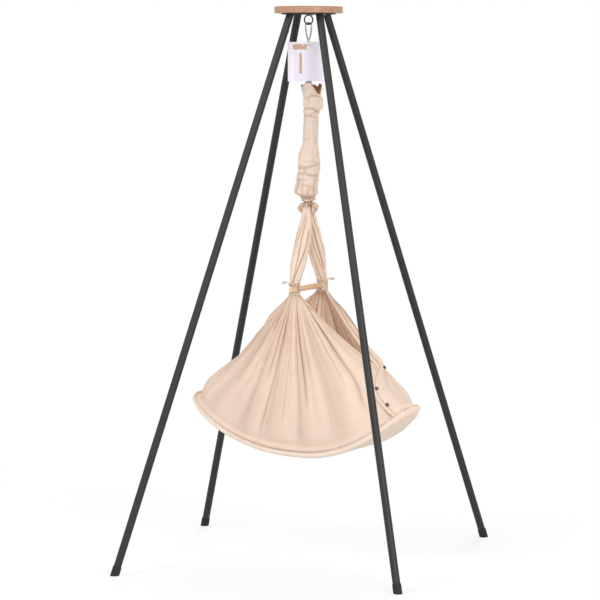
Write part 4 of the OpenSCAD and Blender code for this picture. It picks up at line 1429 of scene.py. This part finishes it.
        # Painted shade in the crown's fine folds and a little over all of it; the creases and the hole get more
        mask = 0.65 * ease(0.2 - fine) * (1 - 0.5 * low) + 0.15
        rng = np.random.default_rng(8)
        pitch = 360 / self.crown_creases
        for k in range(self.crown_creases):
            at = -180 + pitch * (k + rng.uniform(-0.3, 0.3))
            cut = crease(turn_gap(azimuth, at + 500 * (lift + 0.02)), 5.0) \
                * ease((lift + 0.046) / 0.012)
            radius -= rng.uniform(0.0025, 0.0055) * cut * spread
            mask = np.maximum(mask, cut)
        for at in self.crown_hollows:
            radius -= self.crown_hollow_depth * hill(turn_gap(azimuth, at), 34) \
                * ease((-lift - 0.014) / 0.012)
        hole = hill(turn_gap(azimuth, self.crown_hole[0]), self.crown_hole_size[0]) \
            * hill(lift - self.crown_hole[1], self.crown_hole_size[1])
        radius -= self.crown_hole_depth * hole
        # Painted shade in the hole, the darkest on the crown
        mask = np.maximum(mask, hole * 1.2)
        ruffle = lobe * 0.6 * cosine(3 * azimuth) + 0.0022 * cosine(9 * azimuth + 25) * low
        z = heights("spring_sleeve")[0] + lift + ruffle
        crown = solid_loft(around(azimuth, np.maximum(radius, 0.006), z), (0.42, 0.10), mask) \
            .build("sling_crown_cloth", self.finishes.cloth)
        return settle(crown, Body.CRADLE, "cotton_cloth", "sling_crown")

    def build_strap(self, side: int, word: str) -> bpy.types.Object:
        """Makes one gathered strap, from the crown down to the bar.

        Args:
            side: -1 for the near strap, 1 for the far one.
            word: "near" or "far".

        Returns:
            The strap.
        """
        low, high = heights(f"strap_{word}")
        share, azimuth = round_grid(1.0, -0.17, self.strap_grid)
        turned = azimuth - side * self.strap_twist * share
        radius = outline_at(self.strap_rows, share, 1) \
            + outline_at(self.strap_rows, share, 2) * 0.7 * cosine(6 * turned + 30)
        rng = np.random.default_rng(17 + side)
        mask = np.zeros_like(radius)
        pitch = 360 / self.strap_creases
        for k in range(self.strap_creases):
            at = -180 + pitch * (k + rng.uniform(-0.3, 0.3))
            begin, end = rng.uniform(-0.2, 0.25), rng.uniform(0.7, 1.3)
            deep = rng.uniform(0.35, 1.0)
            between = ease((share - begin) / 0.12) * ease((end - share) / 0.12)
            drift = rng.uniform(8, 16) * np.sin(share * rng.uniform(3, 7) + k)
            cut = crease(turn_gap(turned, at + drift), 3.8 + 1.2 * deep) * between
            tight = np.clip(radius / 0.024, 0.45, 1)
            radius -= self.strap_crease_depth * deep * tight * cut
            # Painted shade in each crease, darker in the deeper ones
            mask = np.maximum(mask, cut ** 1.4 * (0.55 + 0.45 * deep))
        radius += 0.0009 * Wrinkles(0.05, 21 + side).at(np.radians(turned) * 0.024, share * 0.3)
        out = mix(0.012, self.bar_y, np.clip(share / 0.86, 0, 1) ** 1.1) \
            + 0.006 * np.clip(1 - share / 0.15, 0, 1) - 0.010 * np.clip(-share / 0.17, 0, 1) ** 1.5
        points = np.stack([radius * cosine(azimuth),
                           side * out + self.strap_flatness * radius * sine(azimuth),
                           mix(high, low, share)], -1)
        strap = solid_loft(points, (0.62, 0.30), mask) \
            .build(f"strap_{word}_cloth", self.finishes.cloth)
        return settle(strap, Body.CRADLE, "cotton_cloth", f"strap_{word}")


# ---- Base line, panels, tray and mattress ----

@dataclass(frozen=True)
class BaseLine:
    """Outline of the cradle's base and the curve of the seam round it."""

    middle: float = -0.014
    half_length: float = 0.434
    half_width: float = 0.155
    squareness: float = 3.0
    low_at: float = 0.045
    low: float = 0.40105
    head_rise: float = 0.180
    foot_rise: float = 0.176
    rise_power: float = 2.2
    depth: float = 0.020
    end_depth: float = 0.009

    def outline(self, t: Any, inset: Any = 0.0) -> tuple[Any, Any]:
        """Outline of the base, a rounded rectangle.

        Args:
            t: Angle about the middle, in degrees.
            inset: How far the outline is drawn in.

        Returns:
            X and Y.
        """
        c, s = cosine(t), sine(t)
        k = (np.abs(c) ** self.squareness + np.abs(s) ** self.squareness) ** (1 / self.squareness)
        return (self.middle + (self.half_length - inset) * c / k,
                (self.half_width - inset) * s / k)

    def seam_height(self, x: Any) -> Any:
        """Height of the seam at x."""
        head = np.maximum(0, self.low_at - x) / (self.half_length + self.low_at - self.middle)
        foot = np.maximum(0, x - self.low_at) / (self.half_length - self.low_at + self.middle)
        return self.low + self.head_rise * head ** self.rise_power \
            + self.foot_rise * foot ** self.rise_power

    def depth_at(self, x: Any) -> Any:
        """Depth of the band below the seam at x."""
        return self.depth + self.end_depth * (np.abs(x - self.middle) / self.half_length) ** 2

    def seam(self, t: Any, inset: Any = 0.0, drop: float = 0.0) -> np.ndarray:
        """Points on the seam, or below it."""
        x, y = self.outline(t, inset)
        return np.stack(np.broadcast_arrays(x, y, self.seam_height(x) - drop), -1)

    def floor(self, t: Any, share: float, lift: float) -> np.ndarray:
        """Ring on the floor at a share of the outline, raised by lift."""
        x, y = self.outline(t)
        x, y = mix(self.middle, x, share), y * share
        return np.stack([x, y, self.seam_height(x) - self.depth_at(x) + lift], -1)


@dataclass(frozen=True)
class PanelEdges:
    """Where one panel starts, ends and hangs.

    Args:
        side: -1 for the near panel, 1 for the far one.
        word: "near" or "far".
        seed: Number that fixes its folds.
        neck_foot: Azimuth on the cord where its foot edge starts.
        head_t: Angle on the base's outline where its head edge ends.
        foot_t: The same for its foot edge.
        foot_top: Highest point of its foot end.
        foot_bulge: How far the foot end bulges between there and the seam.
        tuck: How far its lower edge is drawn in.
        head_top: Highest point of its head end.
        head_bulge: How far the head end bulges.
    """

    side: int
    word: str
    seed: int
    neck_foot: float
    head_t: float
    foot_t: float
    foot_top: tuple
    foot_bulge: tuple
    tuck: float
    head_top: tuple = (-0.275, 0.0, 0.70105)
    head_bulge: tuple = (-0.018, 0.0, 0.004)


@dataclass
class SidePanels:
    """The two gathered sides, their hems and stitches, and the studs on the flap.

    On a panel, u runs from 0 at the head end to 1 at the foot end, and v from 0 at the neck, where
    the cloth leaves the cord, to 1 at the seam.
    """

    finishes: Finishes
    trees: Trees
    line: BaseLine
    near: PanelEdges = PanelEdges(
        side=-1, word="near", seed=31, neck_foot=35.0, head_t=-184.0, foot_t=-27.0,
        foot_top=(0.281, 0.010, 0.696), foot_bulge=(-0.022, -0.018, 0.0), tuck=0.0045)
    far: PanelEdges = PanelEdges(
        side=1, word="far", seed=47, neck_foot=-35.0, head_t=180.0, foot_t=-33.0,
        foot_top=(0.275, 0.0, 0.70105), foot_bulge=(-0.035, -0.033, 0.0), tuck=0.0)
    columns: int = 430
    rows: int = 104
    creases: int = 21
    valleys: int = 8
    gathers: int = 14
    puckers: int = 84
    crease_depth: float = 0.0088
    crease_ridge: float = 0.30
    gather_depth: float = 0.0042
    pucker_depth: float = 0.0011
    unevenness: float = 0.0016
    roll: float = 0.0065                    # how far the cloth rolls out above the seam
    roll_at: float = 0.957
    neck_y: float = 0.110
    neck_z: float = 0.96205
    neck_radius: float = 0.016
    neck_head: float = 215.0
    rim_share: float = 0.65
    rim_sag: float = 0.016
    sag: float = 0.030
    edge_reach: float = 0.4
    cloth: float = 0.0015
    overhang: float = 0.009
    hem: float = 0.0135
    hem_extra: float = 0.0014
    hem_rows: tuple = (0.0028, 0.0108)
    seam_row: float = 0.055
    pitch: float = 0.0042
    # Place of each stud along and down the flap
    studs: tuple = ((0.931, 0.683), (0.981, 0.817), (0.983, 0.928))

    def neck(self, panel: PanelEdges, u: Any) -> np.ndarray:
        """Where the cloth leaves the cord."""
        azimuth = mix(panel.side * self.neck_head, panel.neck_foot, u)
        return around(azimuth, self.neck_radius, self.neck_z) \
            + np.array([0, panel.side * self.neck_y, 0])

    def free_edge(self, panel: PanelEdges, foot: bool, v: np.ndarray) -> np.ndarray:
        """Free edge of a panel: from the neck to the end's top, then down to the seam.

        Args:
            panel: The panel.
            foot: Whether it is the edge at the foot end.
            v: Places down the edge.

        Returns:
            Points on the edge.
        """
        top = np.array(panel.foot_top if foot else panel.head_top)
        bulge = np.array(panel.foot_bulge if foot else panel.head_bulge)
        t = panel.foot_t if foot else panel.head_t
        k = ((1 - v) / (1 - self.rim_share))[..., None]
        upper = (v / self.rim_share)[..., None]
        rim = mix(self.neck(panel, float(foot)), top, upper) \
            - np.array([0, 0, self.rim_sag * foot]) * np.sin(np.pi * np.clip(upper, 0, 1))
        end = mix(self.line.seam(t, panel.tuck), top, k) + bulge * np.sin(np.pi * np.clip(k, 0, 1))
        return np.where(k > 1, rim, end)

    def straight(self, panel: PanelEdges, u: Any, v: Any) -> np.ndarray:
        """Cloth pulled straight from the neck to the seam."""
        t = mix(panel.head_t, panel.foot_t, u)
        share = np.power(v, 0.9)[..., None]
        return mix(self.neck(panel, u), self.line.seam(t, panel.tuck), share)

    def base_surface(self, panel: PanelEdges, u: np.ndarray, v: np.ndarray) -> np.ndarray:
        """Hanging cloth without its folds.

        Args:
            panel: The panel.
            u: Places across the panel.
            v: Places down the panel.

        Returns:
            The points.
        """
        edge = self.line.seam(mix(panel.head_t, panel.foot_t, u))
        pulls = []
        for foot in (False, True):
            reach = np.maximum(0, 1 - (1 - u if foot else u) / self.edge_reach) ** 2
            edge_u = np.full_like(u, float(foot))
            width = 0.22 * (1 - reach) * np.minimum(1, 4 * v * (1 - v))
            moves = [v + offset * width for offset in np.linspace(-1, 1, 9)]
            pull = sum(self.free_edge(panel, foot, moved) - self.straight(panel, edge_u, moved)
                       for moved in moves) / len(moves)
            pulls.append((reach, pull))
        rest = 1 - pulls[0][0] - pulls[1][0]
        sag = self.sag * np.sin(np.pi * v) * (np.abs(edge[..., 0]) / self.line.half_length) ** 1.5
        hang = np.stack([np.sign(edge[..., 0]), 0 * u, 0.6 + 0 * u], -1)
        points = self.straight(panel, u, v) - (sag * rest)[..., None] * hang
        for reach, pull in pulls:
            points = points + reach[..., None] * pull
        return points

    def one_crease(self, rng: np.random.Generator, u: np.ndarray, v: np.ndarray,
                   number: int) -> tuple[Any, Any]:
        """One crease that runs down from the neck.

        Args:
            rng: Source of its place and size.
            u: Places across the panel.
            v: Places down the panel.
            number: Which crease it is.

        Returns:
            How far it stands out, and the painted shade that each point gets in it.
        """
        at = (number + 0.5 + rng.uniform(-0.34, 0.34)) / self.creases
        end, deep = rng.uniform(0.36, 1.15), 0.18 + 0.82 * rng.uniform(0, 1) ** 1.6
        wide = rng.uniform(0.0045, 0.0085)
        wander, phase = rng.uniform(-0.012, 0.012), rng.uniform(0, TURN)
        line = at + wander * np.sin(np.pi * 1.4 * v + phase) - wander * math.sin(phase)
        until = ease((end - v) / 0.30)
        cut = crease(u - line, wide * (1 + 0.5 * v)) * until
        ridge = hill(np.abs(u - line) - 2.2 * wide, 1.1 * wide) * until
        grow = np.clip(0.10 + 3.4 * v, 0, 1) * ease((1.0 - v) / 0.10)
        flatten = mix(1.15, 0.48, ease((v - 0.12) / 0.5))
        return self.crease_depth * deep * grow * flatten * (self.crease_ridge * ridge - cut), \
            cut ** 2.0 * (0.16 + 0.94 * deep) * flatten

    def one_valley(self, rng: np.random.Generator, u: np.ndarray, v: np.ndarray,
                   number: int) -> tuple[Any, Any]:
        """One broad, soft valley.

        Args:
            rng: Source of its place and size.
            u: Places across the panel.
            v: Places down the panel.
            number: Which valley it is.

        Returns:
            How far it stands out, and the painted shade that each point gets in it.
        """
        at = (number + 0.5 + rng.uniform(-0.3, 0.3)) / self.valleys
        wide, deep = rng.uniform(0.015, 0.028), rng.uniform(0.008, 0.016)
        lean = rng.uniform(-0.03, 0.03)
        cut = hill(u - at - lean * v, wide * (0.6 + v)) * ease(v / 0.18) * ease((1 - v) / 0.16)
        return -deep * cut, 0.16 * cut

    def folds(self, panel: PanelEdges, u: np.ndarray, v: np.ndarray) -> tuple[Any, Any]:
        """Folds of a panel.

        Args:
            panel: The panel.
            u: Places across the panel.
            v: Places down the panel.

        Returns:
            How far the folds stand out, and the painted shade of each point: in the creases and valleys, along the
            seam and near the neck.
        """
        rng = np.random.default_rng(panel.seed)
        from_end = np.minimum(u, 1 - u)
        gathers = np.cos(TURN * self.gathers * u + 1.2 * np.sin(TURN * 3 * u + panel.seed))
        height = self.gather_depth * gathers \
            * np.sin(np.pi * np.minimum(1, 1.05 * v)) * np.minimum(1, 3 * v)
        mask = np.zeros_like(u)
        for fold, count in ((self.one_crease, self.creases), (self.one_valley, self.valleys)):
            for number in range(count):
                change, deep = fold(rng, u, v, number)
                height += change
                mask = np.maximum(mask, deep)
        height += self.unevenness * Wrinkles(0.19, panel.seed + 1).at(u * 1.1, v * 0.6)
        fade = ease(from_end / 0.05)
        height *= fade
        height += self.roll * hill(v - self.roll_at, 0.030) * ease(from_end / 0.03)
        pucker = np.exp(-(1 - v) / 0.022)
        height += self.pucker_depth * pucker \
            * np.cos(TURN * self.puckers * u + 3 * np.sin(TURN * 5 * u))
        height -= 0.0035 * ease((v - 0.978) / 0.022)
        # Painted shade in a line along the seam
        mask = np.maximum(mask, 0.45 * ease((v - 0.980) / 0.020))
        # A little painted shade near the neck, where the cloth is gathered onto the cord
        tight = 0.15 * np.exp(-v / 0.05)
        return height, np.maximum(mask * fade, tight)

    def surface(self, panel: PanelEdges, u: np.ndarray, v: np.ndarray) -> tuple[Any, Any]:
        """Outer face of a panel.

        Args:
            panel: The panel.
            u: Places across the panel.
            v: Places down the panel.

        Returns:
            The points, and the painted shade of each one.
        """
        base = self.base_surface(panel, u, v)
        step = 2e-3
        du = self.base_surface(panel, np.minimum(1, u + step), v) \
            - self.base_surface(panel, np.maximum(0, u - step), v)
        dv = self.base_surface(panel, u, np.minimum(1, v + step)) \
            - self.base_surface(panel, u, np.maximum(0, v - step))
        outward = unit(np.cross(dv, du)) * panel.side
        height, mask = self.folds(panel, u, v)
        overhang = self.overhang * (np.abs(base[..., 0]) / self.line.half_length) ** 2
        drop = overhang * ease((v - 0.80) / 0.20)
        return base + outward * height[..., None] - drop[..., None] * [0, 0, 1], mask

    def grid(self, panel: PanelEdges) -> tuple[np.ndarray, np.ndarray]:
        """Outer face as rows from the seam up to the neck, with columns anticlockwise."""
        v = np.linspace(1, 0, self.rows)
        # The rows lie closer together near the seam
        v = np.where(v > 0.9, 1 - (1 - v) * (0.55 + 4.5 * (1 - v)), v)
        ends = (0, 1) if panel.side < 0 else (1, 0)
        return self.surface(panel, *np.meshgrid(np.linspace(*ends, self.columns), v))

    def build_panel(self, panel: PanelEdges) -> bpy.types.Object:
        """Makes one panel with its hems and its stitches.

        Args:
            panel: The panel's edges.

        Returns:
            The panel's cloth.
        """
        face, mask = self.grid(panel)
        steps = np.linalg.norm(np.diff(face, axis=1), axis=-1)
        run = np.concatenate([np.zeros((len(face), 1)), np.cumsum(steps, 1)], 1)
        from_edge = np.minimum(run, run[:, -1:] - run)
        height = np.linspace(1, 0, len(face))[:, None]
        hem = ease((self.hem - from_edge) / 0.0022) * ease((height - 0.01) / 0.10)
        out = normals_of(face)
        face = face + out * (hem * self.hem_extra * 0.5)[..., None]
        # Painted shade in a thin line where the hem ends
        mask = np.maximum(mask, 0.55 * hill(from_edge - self.hem, 0.0018))
        thin = mix(0.3, 1.0, ease(height / 0.18))
        piece = sheet_shell(face, self.cloth * thin + hem * self.hem_extra, (1.15, 0.62), mask) \
            .build(f"side_panel_{panel.word}_cloth", self.finishes.cloth)
        rows = [self.stitch_row(face, out, run, inset, left)
                for left in (True, False) for inset in self.hem_rows]
        low = round(self.seam_row * (self.rows - 1))
        rows.append(face[low, 6:-6] + out[low, 6:-6] * 0.0002)
        stitches = self.trees.stitches.apply(
            f"side_panel_{panel.word}_stitches", path_object("rows", rows), self.finishes.thread,
            Step=self.pitch, Half_Length=self.pitch * 0.36, Half_Width=0.00042)
        settle(piece, Body.CRADLE, "cotton_cloth", f"side_panel_{panel.word}")
        settle(stitches, Body.CRADLE, "cotton_cord")
        return piece

    def stitch_row(self, face: np.ndarray, out: np.ndarray, run: np.ndarray, inset: float,
                   left: bool) -> np.ndarray:
        """Path that follows a free edge at a fixed distance from it.

        Args:
            face: Grid of the panel's outer face.
            out: Outward direction at each point.
            run: Distance of each point from the left edge, along its row.
            inset: Distance of the path from the edge.
            left: Whether it follows the left edge.

        Returns:
            Points of the path.
        """
        rows = range(4, len(face) - 7)
        at = [inset if left else run[i, -1] - inset for i in rows]
        lifted = face + out * 0.0003
        return np.array([[np.interp(a, run[i], lifted[i, :, axis]) for axis in range(3)]
                         for i, a in zip(rows, at)])

    def build_studs(self) -> None:
        """Sets the press studs: domed heads outside, their sockets inside."""
        u, v = (np.array(c) for c in zip(*self.studs))
        place = self.surface(self.far, u, v)[0]
        step = 3e-3
        du = self.surface(self.far, u + step, v)[0] - place
        dv = self.surface(self.far, u, v + step)[0] - place
        out = unit(np.cross(dv, du))
        for name, lift, turned, radius, node in (
                ("stud_heads", 0.0010, 1, 0.0068, "stud_caps"),
                ("stud_backs", -0.0032, -1, 0.0056, "stud_sockets")):
            seed = path_object(name + "_seed", [place + out * lift])
            seed.data.attributes.new("out", "FLOAT_VECTOR", "POINT").data \
                .foreach_set("vector", (out * turned).reshape(-1).astype(np.float32))
            studs = self.trees.studs.apply(name, seed, self.finishes.brass, Radius=radius,
                                           Rim=0.0008)
            settle(studs, Body.CRADLE, "antique_brass", node)


@dataclass
class Base:
    """Tray of cloth under the panels, its piping, and the mattress."""

    finishes: Finishes
    trees: Trees
    line: BaseLine
    columns: int = 420
    cloth: float = 0.003
    wall_inset: float = 0.0062
    under_mattress: float = 0.004
    mattress_height: float = 0.024
    quilt_pitch: float = 0.085
    quilt_depth: float = 0.0022
    # Inset from the outline and share of the band's depth, up the outer face
    band: tuple = ((0.016, 1.0), (0.008, 0.97), (0.002, 0.88), (-0.0020, 0.72), (-0.0035, 0.55),
                   (-0.0032, 0.40), (-0.0010, 0.24), (0.0015, 0.12), (0.0030, 0.03))
    # Share of the outline and of the mattress's height, from its underside to its middle
    cushion: tuple = ((0.25, 0.0), (0.60, 0.0), (0.85, 0.0), (0.905, 0.12), (0.918, 0.36),
                      (0.920, 0.55), (0.912, 0.76), (0.885, 0.94), (0.83, 1.05), (0.68, 1.16),
                      (0.48, 1.24), (0.28, 1.28), (0.10, 1.29))
    floor_shares: tuple = (0.06, 0.25, 0.60, 0.85, 0.94)
    # Painted shade on each ring of the tray: darkest just under the seam, some at the band's foot and underneath,
    # none on the band's middle, and even over the inner wall and the floor inside
    tone: tuple = (0.2,) * 5 + (0.3, 0.2, 0.1, 0, 0, 0, 0.1, 0.3, 0.6) + (0.4,) * 8

    def band_ring(self, inset: float, drop: float, puff: float) -> np.ndarray:
        """Ring on the tray's side, with soft puffs between its stitches.

        Args:
            inset: How far it is drawn in from the outline.
            drop: Its place below the seam, as a share of the band's depth.
            puff: Height of the puffs, from 0 for none to 1.

        Returns:
            Points of the ring.
        """
        t = full_turn(self.columns)
        swell = puff * (0.0009 * cosine(58 * t) * math.sin(math.pi * drop)
                        + 0.0008 * Wrinkles(24, 3).at(t, drop * 40))
        x, y = self.line.outline(t, inset - swell)
        return np.stack([x, y, self.line.seam_height(x) - drop * self.line.depth_at(x)], -1)

    def floor_rings(self, shares: Sequence[float], lift: float) -> list[np.ndarray]:
        """Rings on the floor at shares of the outline."""
        return [self.line.floor(full_turn(self.columns), share, lift) for share in shares]

    def build_tray(self) -> None:
        """Makes the tray: floor, outer band and inner wall in one closed skin."""
        under = self.floor_rings(self.floor_shares, 0.0)
        outer = [self.band_ring(inset, drop, 1.0) for inset, drop in self.band]
        inner = [self.band_ring(self.wall_inset, drop, 0.0) for drop in (0.03, 0.4, 0.7)]
        over = self.floor_rings(self.floor_shares[::-1], self.cloth)
        rings = np.stack(under + outer + inner + over)
        # Painted shade, ring by ring
        mask = np.broadcast_to(np.array(self.tone)[:, None], rings.shape[:2])
        tray = solid_loft(rings, (2.1, 0.42), mask).build("base_tray_cloth", self.finishes.band)
        settle(tray, Body.CRADLE, "cotton_band", "base_tray")
        line = self.line.seam(full_turn(self.columns), 0.0010, 0.0022)
        pipe = self.trees.piping("base_piping", line, self.finishes.band, 0.0012)
        settle(pipe, Body.CRADLE, "cotton_band")
        row = self.band_ring(-0.0026, 0.42, 1.0)
        row[:, 2] -= 0.005 * (np.abs(row[:, 0] - self.line.middle) / self.line.half_length) ** 4
        stitches = self.trees.stitches.apply(
            "base_stitches", path_object("row", [row], closed=True), self.finishes.thread,
            Step=0.005, Half_Length=0.0018, Half_Width=0.0004)
        settle(stitches, Body.CRADLE, "cotton_cord")

    def build_mattress(self) -> None:
        """Makes the crowned mattress, quilted in diamonds, with a piped edge."""
        rings = []
        for share, rise in self.cushion:
            ring, = self.floor_rings([share], self.under_mattress + self.mattress_height * rise)
            if rise > 0.9:
                x, y = ring[:, 0], ring[:, 1]
                ring[:, 2] -= self.quilt_depth * sum(
                    crease(np.sin((x + s * y) * math.pi / self.quilt_pitch), 0.16)
                    for s in (-1, 1))
            rings.append(ring)
        pad = solid_loft(np.stack(rings), (1.0, 0.6), 0.05) \
            .build("mattress_pad", self.finishes.cover)
        settle(pad, Body.CRADLE, "mattress_cover", "mattress")
        edge, = self.floor_rings([0.9225], self.under_mattress + self.mattress_height * 0.50)
        piping = self.trees.piping("mattress_piping", edge, self.finishes.cover, 0.0014)
        settle(piping, Body.CRADLE, "mattress_cover")


# ---- Studio ----------------------------------

@dataclass
class Studio:
    """Camera, floor, world and lamps."""

    place: tuple = (4.472, -8.776, 1.757)
    focal_share: float = 2747 / 600
    pitch: float = 4.79
    yaw: float = -0.18
    floor_radius: float = 60.0
    sensor: float = 36.0
    aim: float = 0.9
    ambient: float = 0.68
    # Name, azimuth from the camera, elevation, distance, size and power
    lamps: tuple = (("key", -48, 42, 5.5, 1.8, 90), ("fill", 26, 22, 6.0, 2.4, 135),
                    ("back", 170, 38, 6.0, 2.4, 140))

    def set_camera(self) -> None:
        """Places the camera at the photograph's angle."""
        pitch, yaw = math.radians(self.pitch), math.radians(self.yaw)
        turn = Matrix.Rotation(math.radians(RIGHT_AZIMUTH), 3, "Z")
        ahead = turn @ Vector((math.sin(yaw) * math.cos(pitch), math.cos(yaw) * math.cos(pitch),
                               -math.sin(pitch)))
        right = turn @ Vector((math.cos(yaw), -math.sin(yaw), 0))
        up = right.cross(ahead)
        data = bpy.data.cameras.new("camera")
        data.sensor_width = self.sensor
        data.lens = self.sensor * self.focal_share
        data.clip_end = 200.0
        camera = new_object("camera", data)
        camera.matrix_world = Matrix.Translation(self.place) \
            @ Matrix((right, up, -ahead)).transposed().to_4x4()
        bpy.context.scene.camera = camera

    @staticmethod
    def seen(tree: Nodes) -> Value:
        """1 for rays that show the background: from the camera, or by mirror or glass."""
        rays = tree.node("ShaderNodeLightPath")
        total = rays.beside("Is Camera Ray") + rays.beside("Is Glossy Ray") \
            + rays.beside("Is Transmission Ray")
        return total.maths("MINIMUM", 1.0)

    def set_world(self) -> None:
        """White behind the object, and even soft light from all round."""
        world = bpy.data.worlds.new("studio")
        world.use_nodes = True
        bpy.context.scene.world = world
        tree = Nodes(world.node_tree)
        level = self.seen(tree) * (1 - self.ambient) + self.ambient
        light = tree.node("ShaderNodeBackground", None, {"Color": (1, 1, 1, 1), "Strength": level})
        tree.node("ShaderNodeOutputWorld", None, {"Surface": light})

    def set_floor(self) -> None:
        """Pale floor that keeps the object's shadow and turns white further out."""
        shell = Shell()
        corners = 96
        ring = around(np.linspace(0, 360, corners, endpoint=False), self.floor_radius)
        start = shell.add_points(ring)
        shell.fan(range(start, start + corners), (0, 0, 0))
        s = Surface("studio_floor")
        distance = s.vector("LENGTH", s.coords(), output="Value")
        white = self.seen(s) * (distance.between(0.9, 2.6) * 0.30 + 0.70)
        matt = s.node("ShaderNodeBsdfDiffuse", None, {"Color": (0.86, 0.86, 0.86, 1)})
        glow = s.node("ShaderNodeEmission", None, {"Color": (1, 1, 1, 1), "Strength": 1.0})
        mixed = s.node("ShaderNodeMixShader", None, {0: white, 1: matt, 2: glow})
        s.node("ShaderNodeOutputMaterial", None, {"Surface": mixed})
        shell.build("floor", s.material)

    def add_lamp(self, name: str, azimuth: float, elevation: float, distance: float,
                 size: float, power: float) -> None:
        """Adds a soft square lamp that faces the cradle.

        Args:
            name: Name of the lamp.
            azimuth: Its azimuth from the camera's.
            elevation: Its elevation, in degrees.
            distance: Its distance from the cradle.
            size: Width of the square.
            power: Its power, in watts.
        """
        data = bpy.data.lights.new(name, "AREA")
        data.shape, data.size, data.energy = "SQUARE", size, power
        e = math.radians(elevation)
        place = Vector(around(VIEW_AZIMUTH + azimuth, distance * math.cos(e),
                              self.aim + distance * math.sin(e)))
        turn = (Vector((0, 0, self.aim)) - place).to_track_quat("-Z", "Y").to_matrix().to_4x4()
        new_object(name, data).matrix_world = Matrix.Translation(place) @ turn

    def build(self) -> None:
        """Sets up all but the camera."""
        self.set_world()
        self.set_floor()
        for lamp in self.lamps:
            self.add_lamp(*lamp)
        bpy.context.scene.view_settings.view_transform = "Standard"


def main() -> None:
    """Builds the object, piece by piece, and the studio round it."""
    logging.basicConfig(level=logging.INFO, format="%(name)s %(message)s")
    studio = Studio()
    studio.set_camera()
    finishes, trees, line = Finishes(), Trees(), BaseLine()
    spring, sling = SpringLine(finishes, trees), Sling(finishes, trees)
    spring.build_cords()
    sling.build_cords()
    hardware = Hardware(finishes)
    hardware.dress()
    hardware.build_leaf_springs()
    spring.build_spring()
    spring.build_sleeve()
    crown = sling.build_crown()
    panels = SidePanels(finishes, trees, line)
    for panel, extra, cut, area in ((panels.near, [crown], (0.96, 0.64), 0.42),
                                    (panels.far, [], (1.15, 0.66), 0.50)):
        strap = sling.build_strap(panel.side, panel.word)
        piece = panels.build_panel(panel)
    panels.build_studs()
    base = Base(finishes, trees, line)
    base.build_tray()
    base.build_mattress()
    studio.build()


if __name__ == "__main__":
    main()
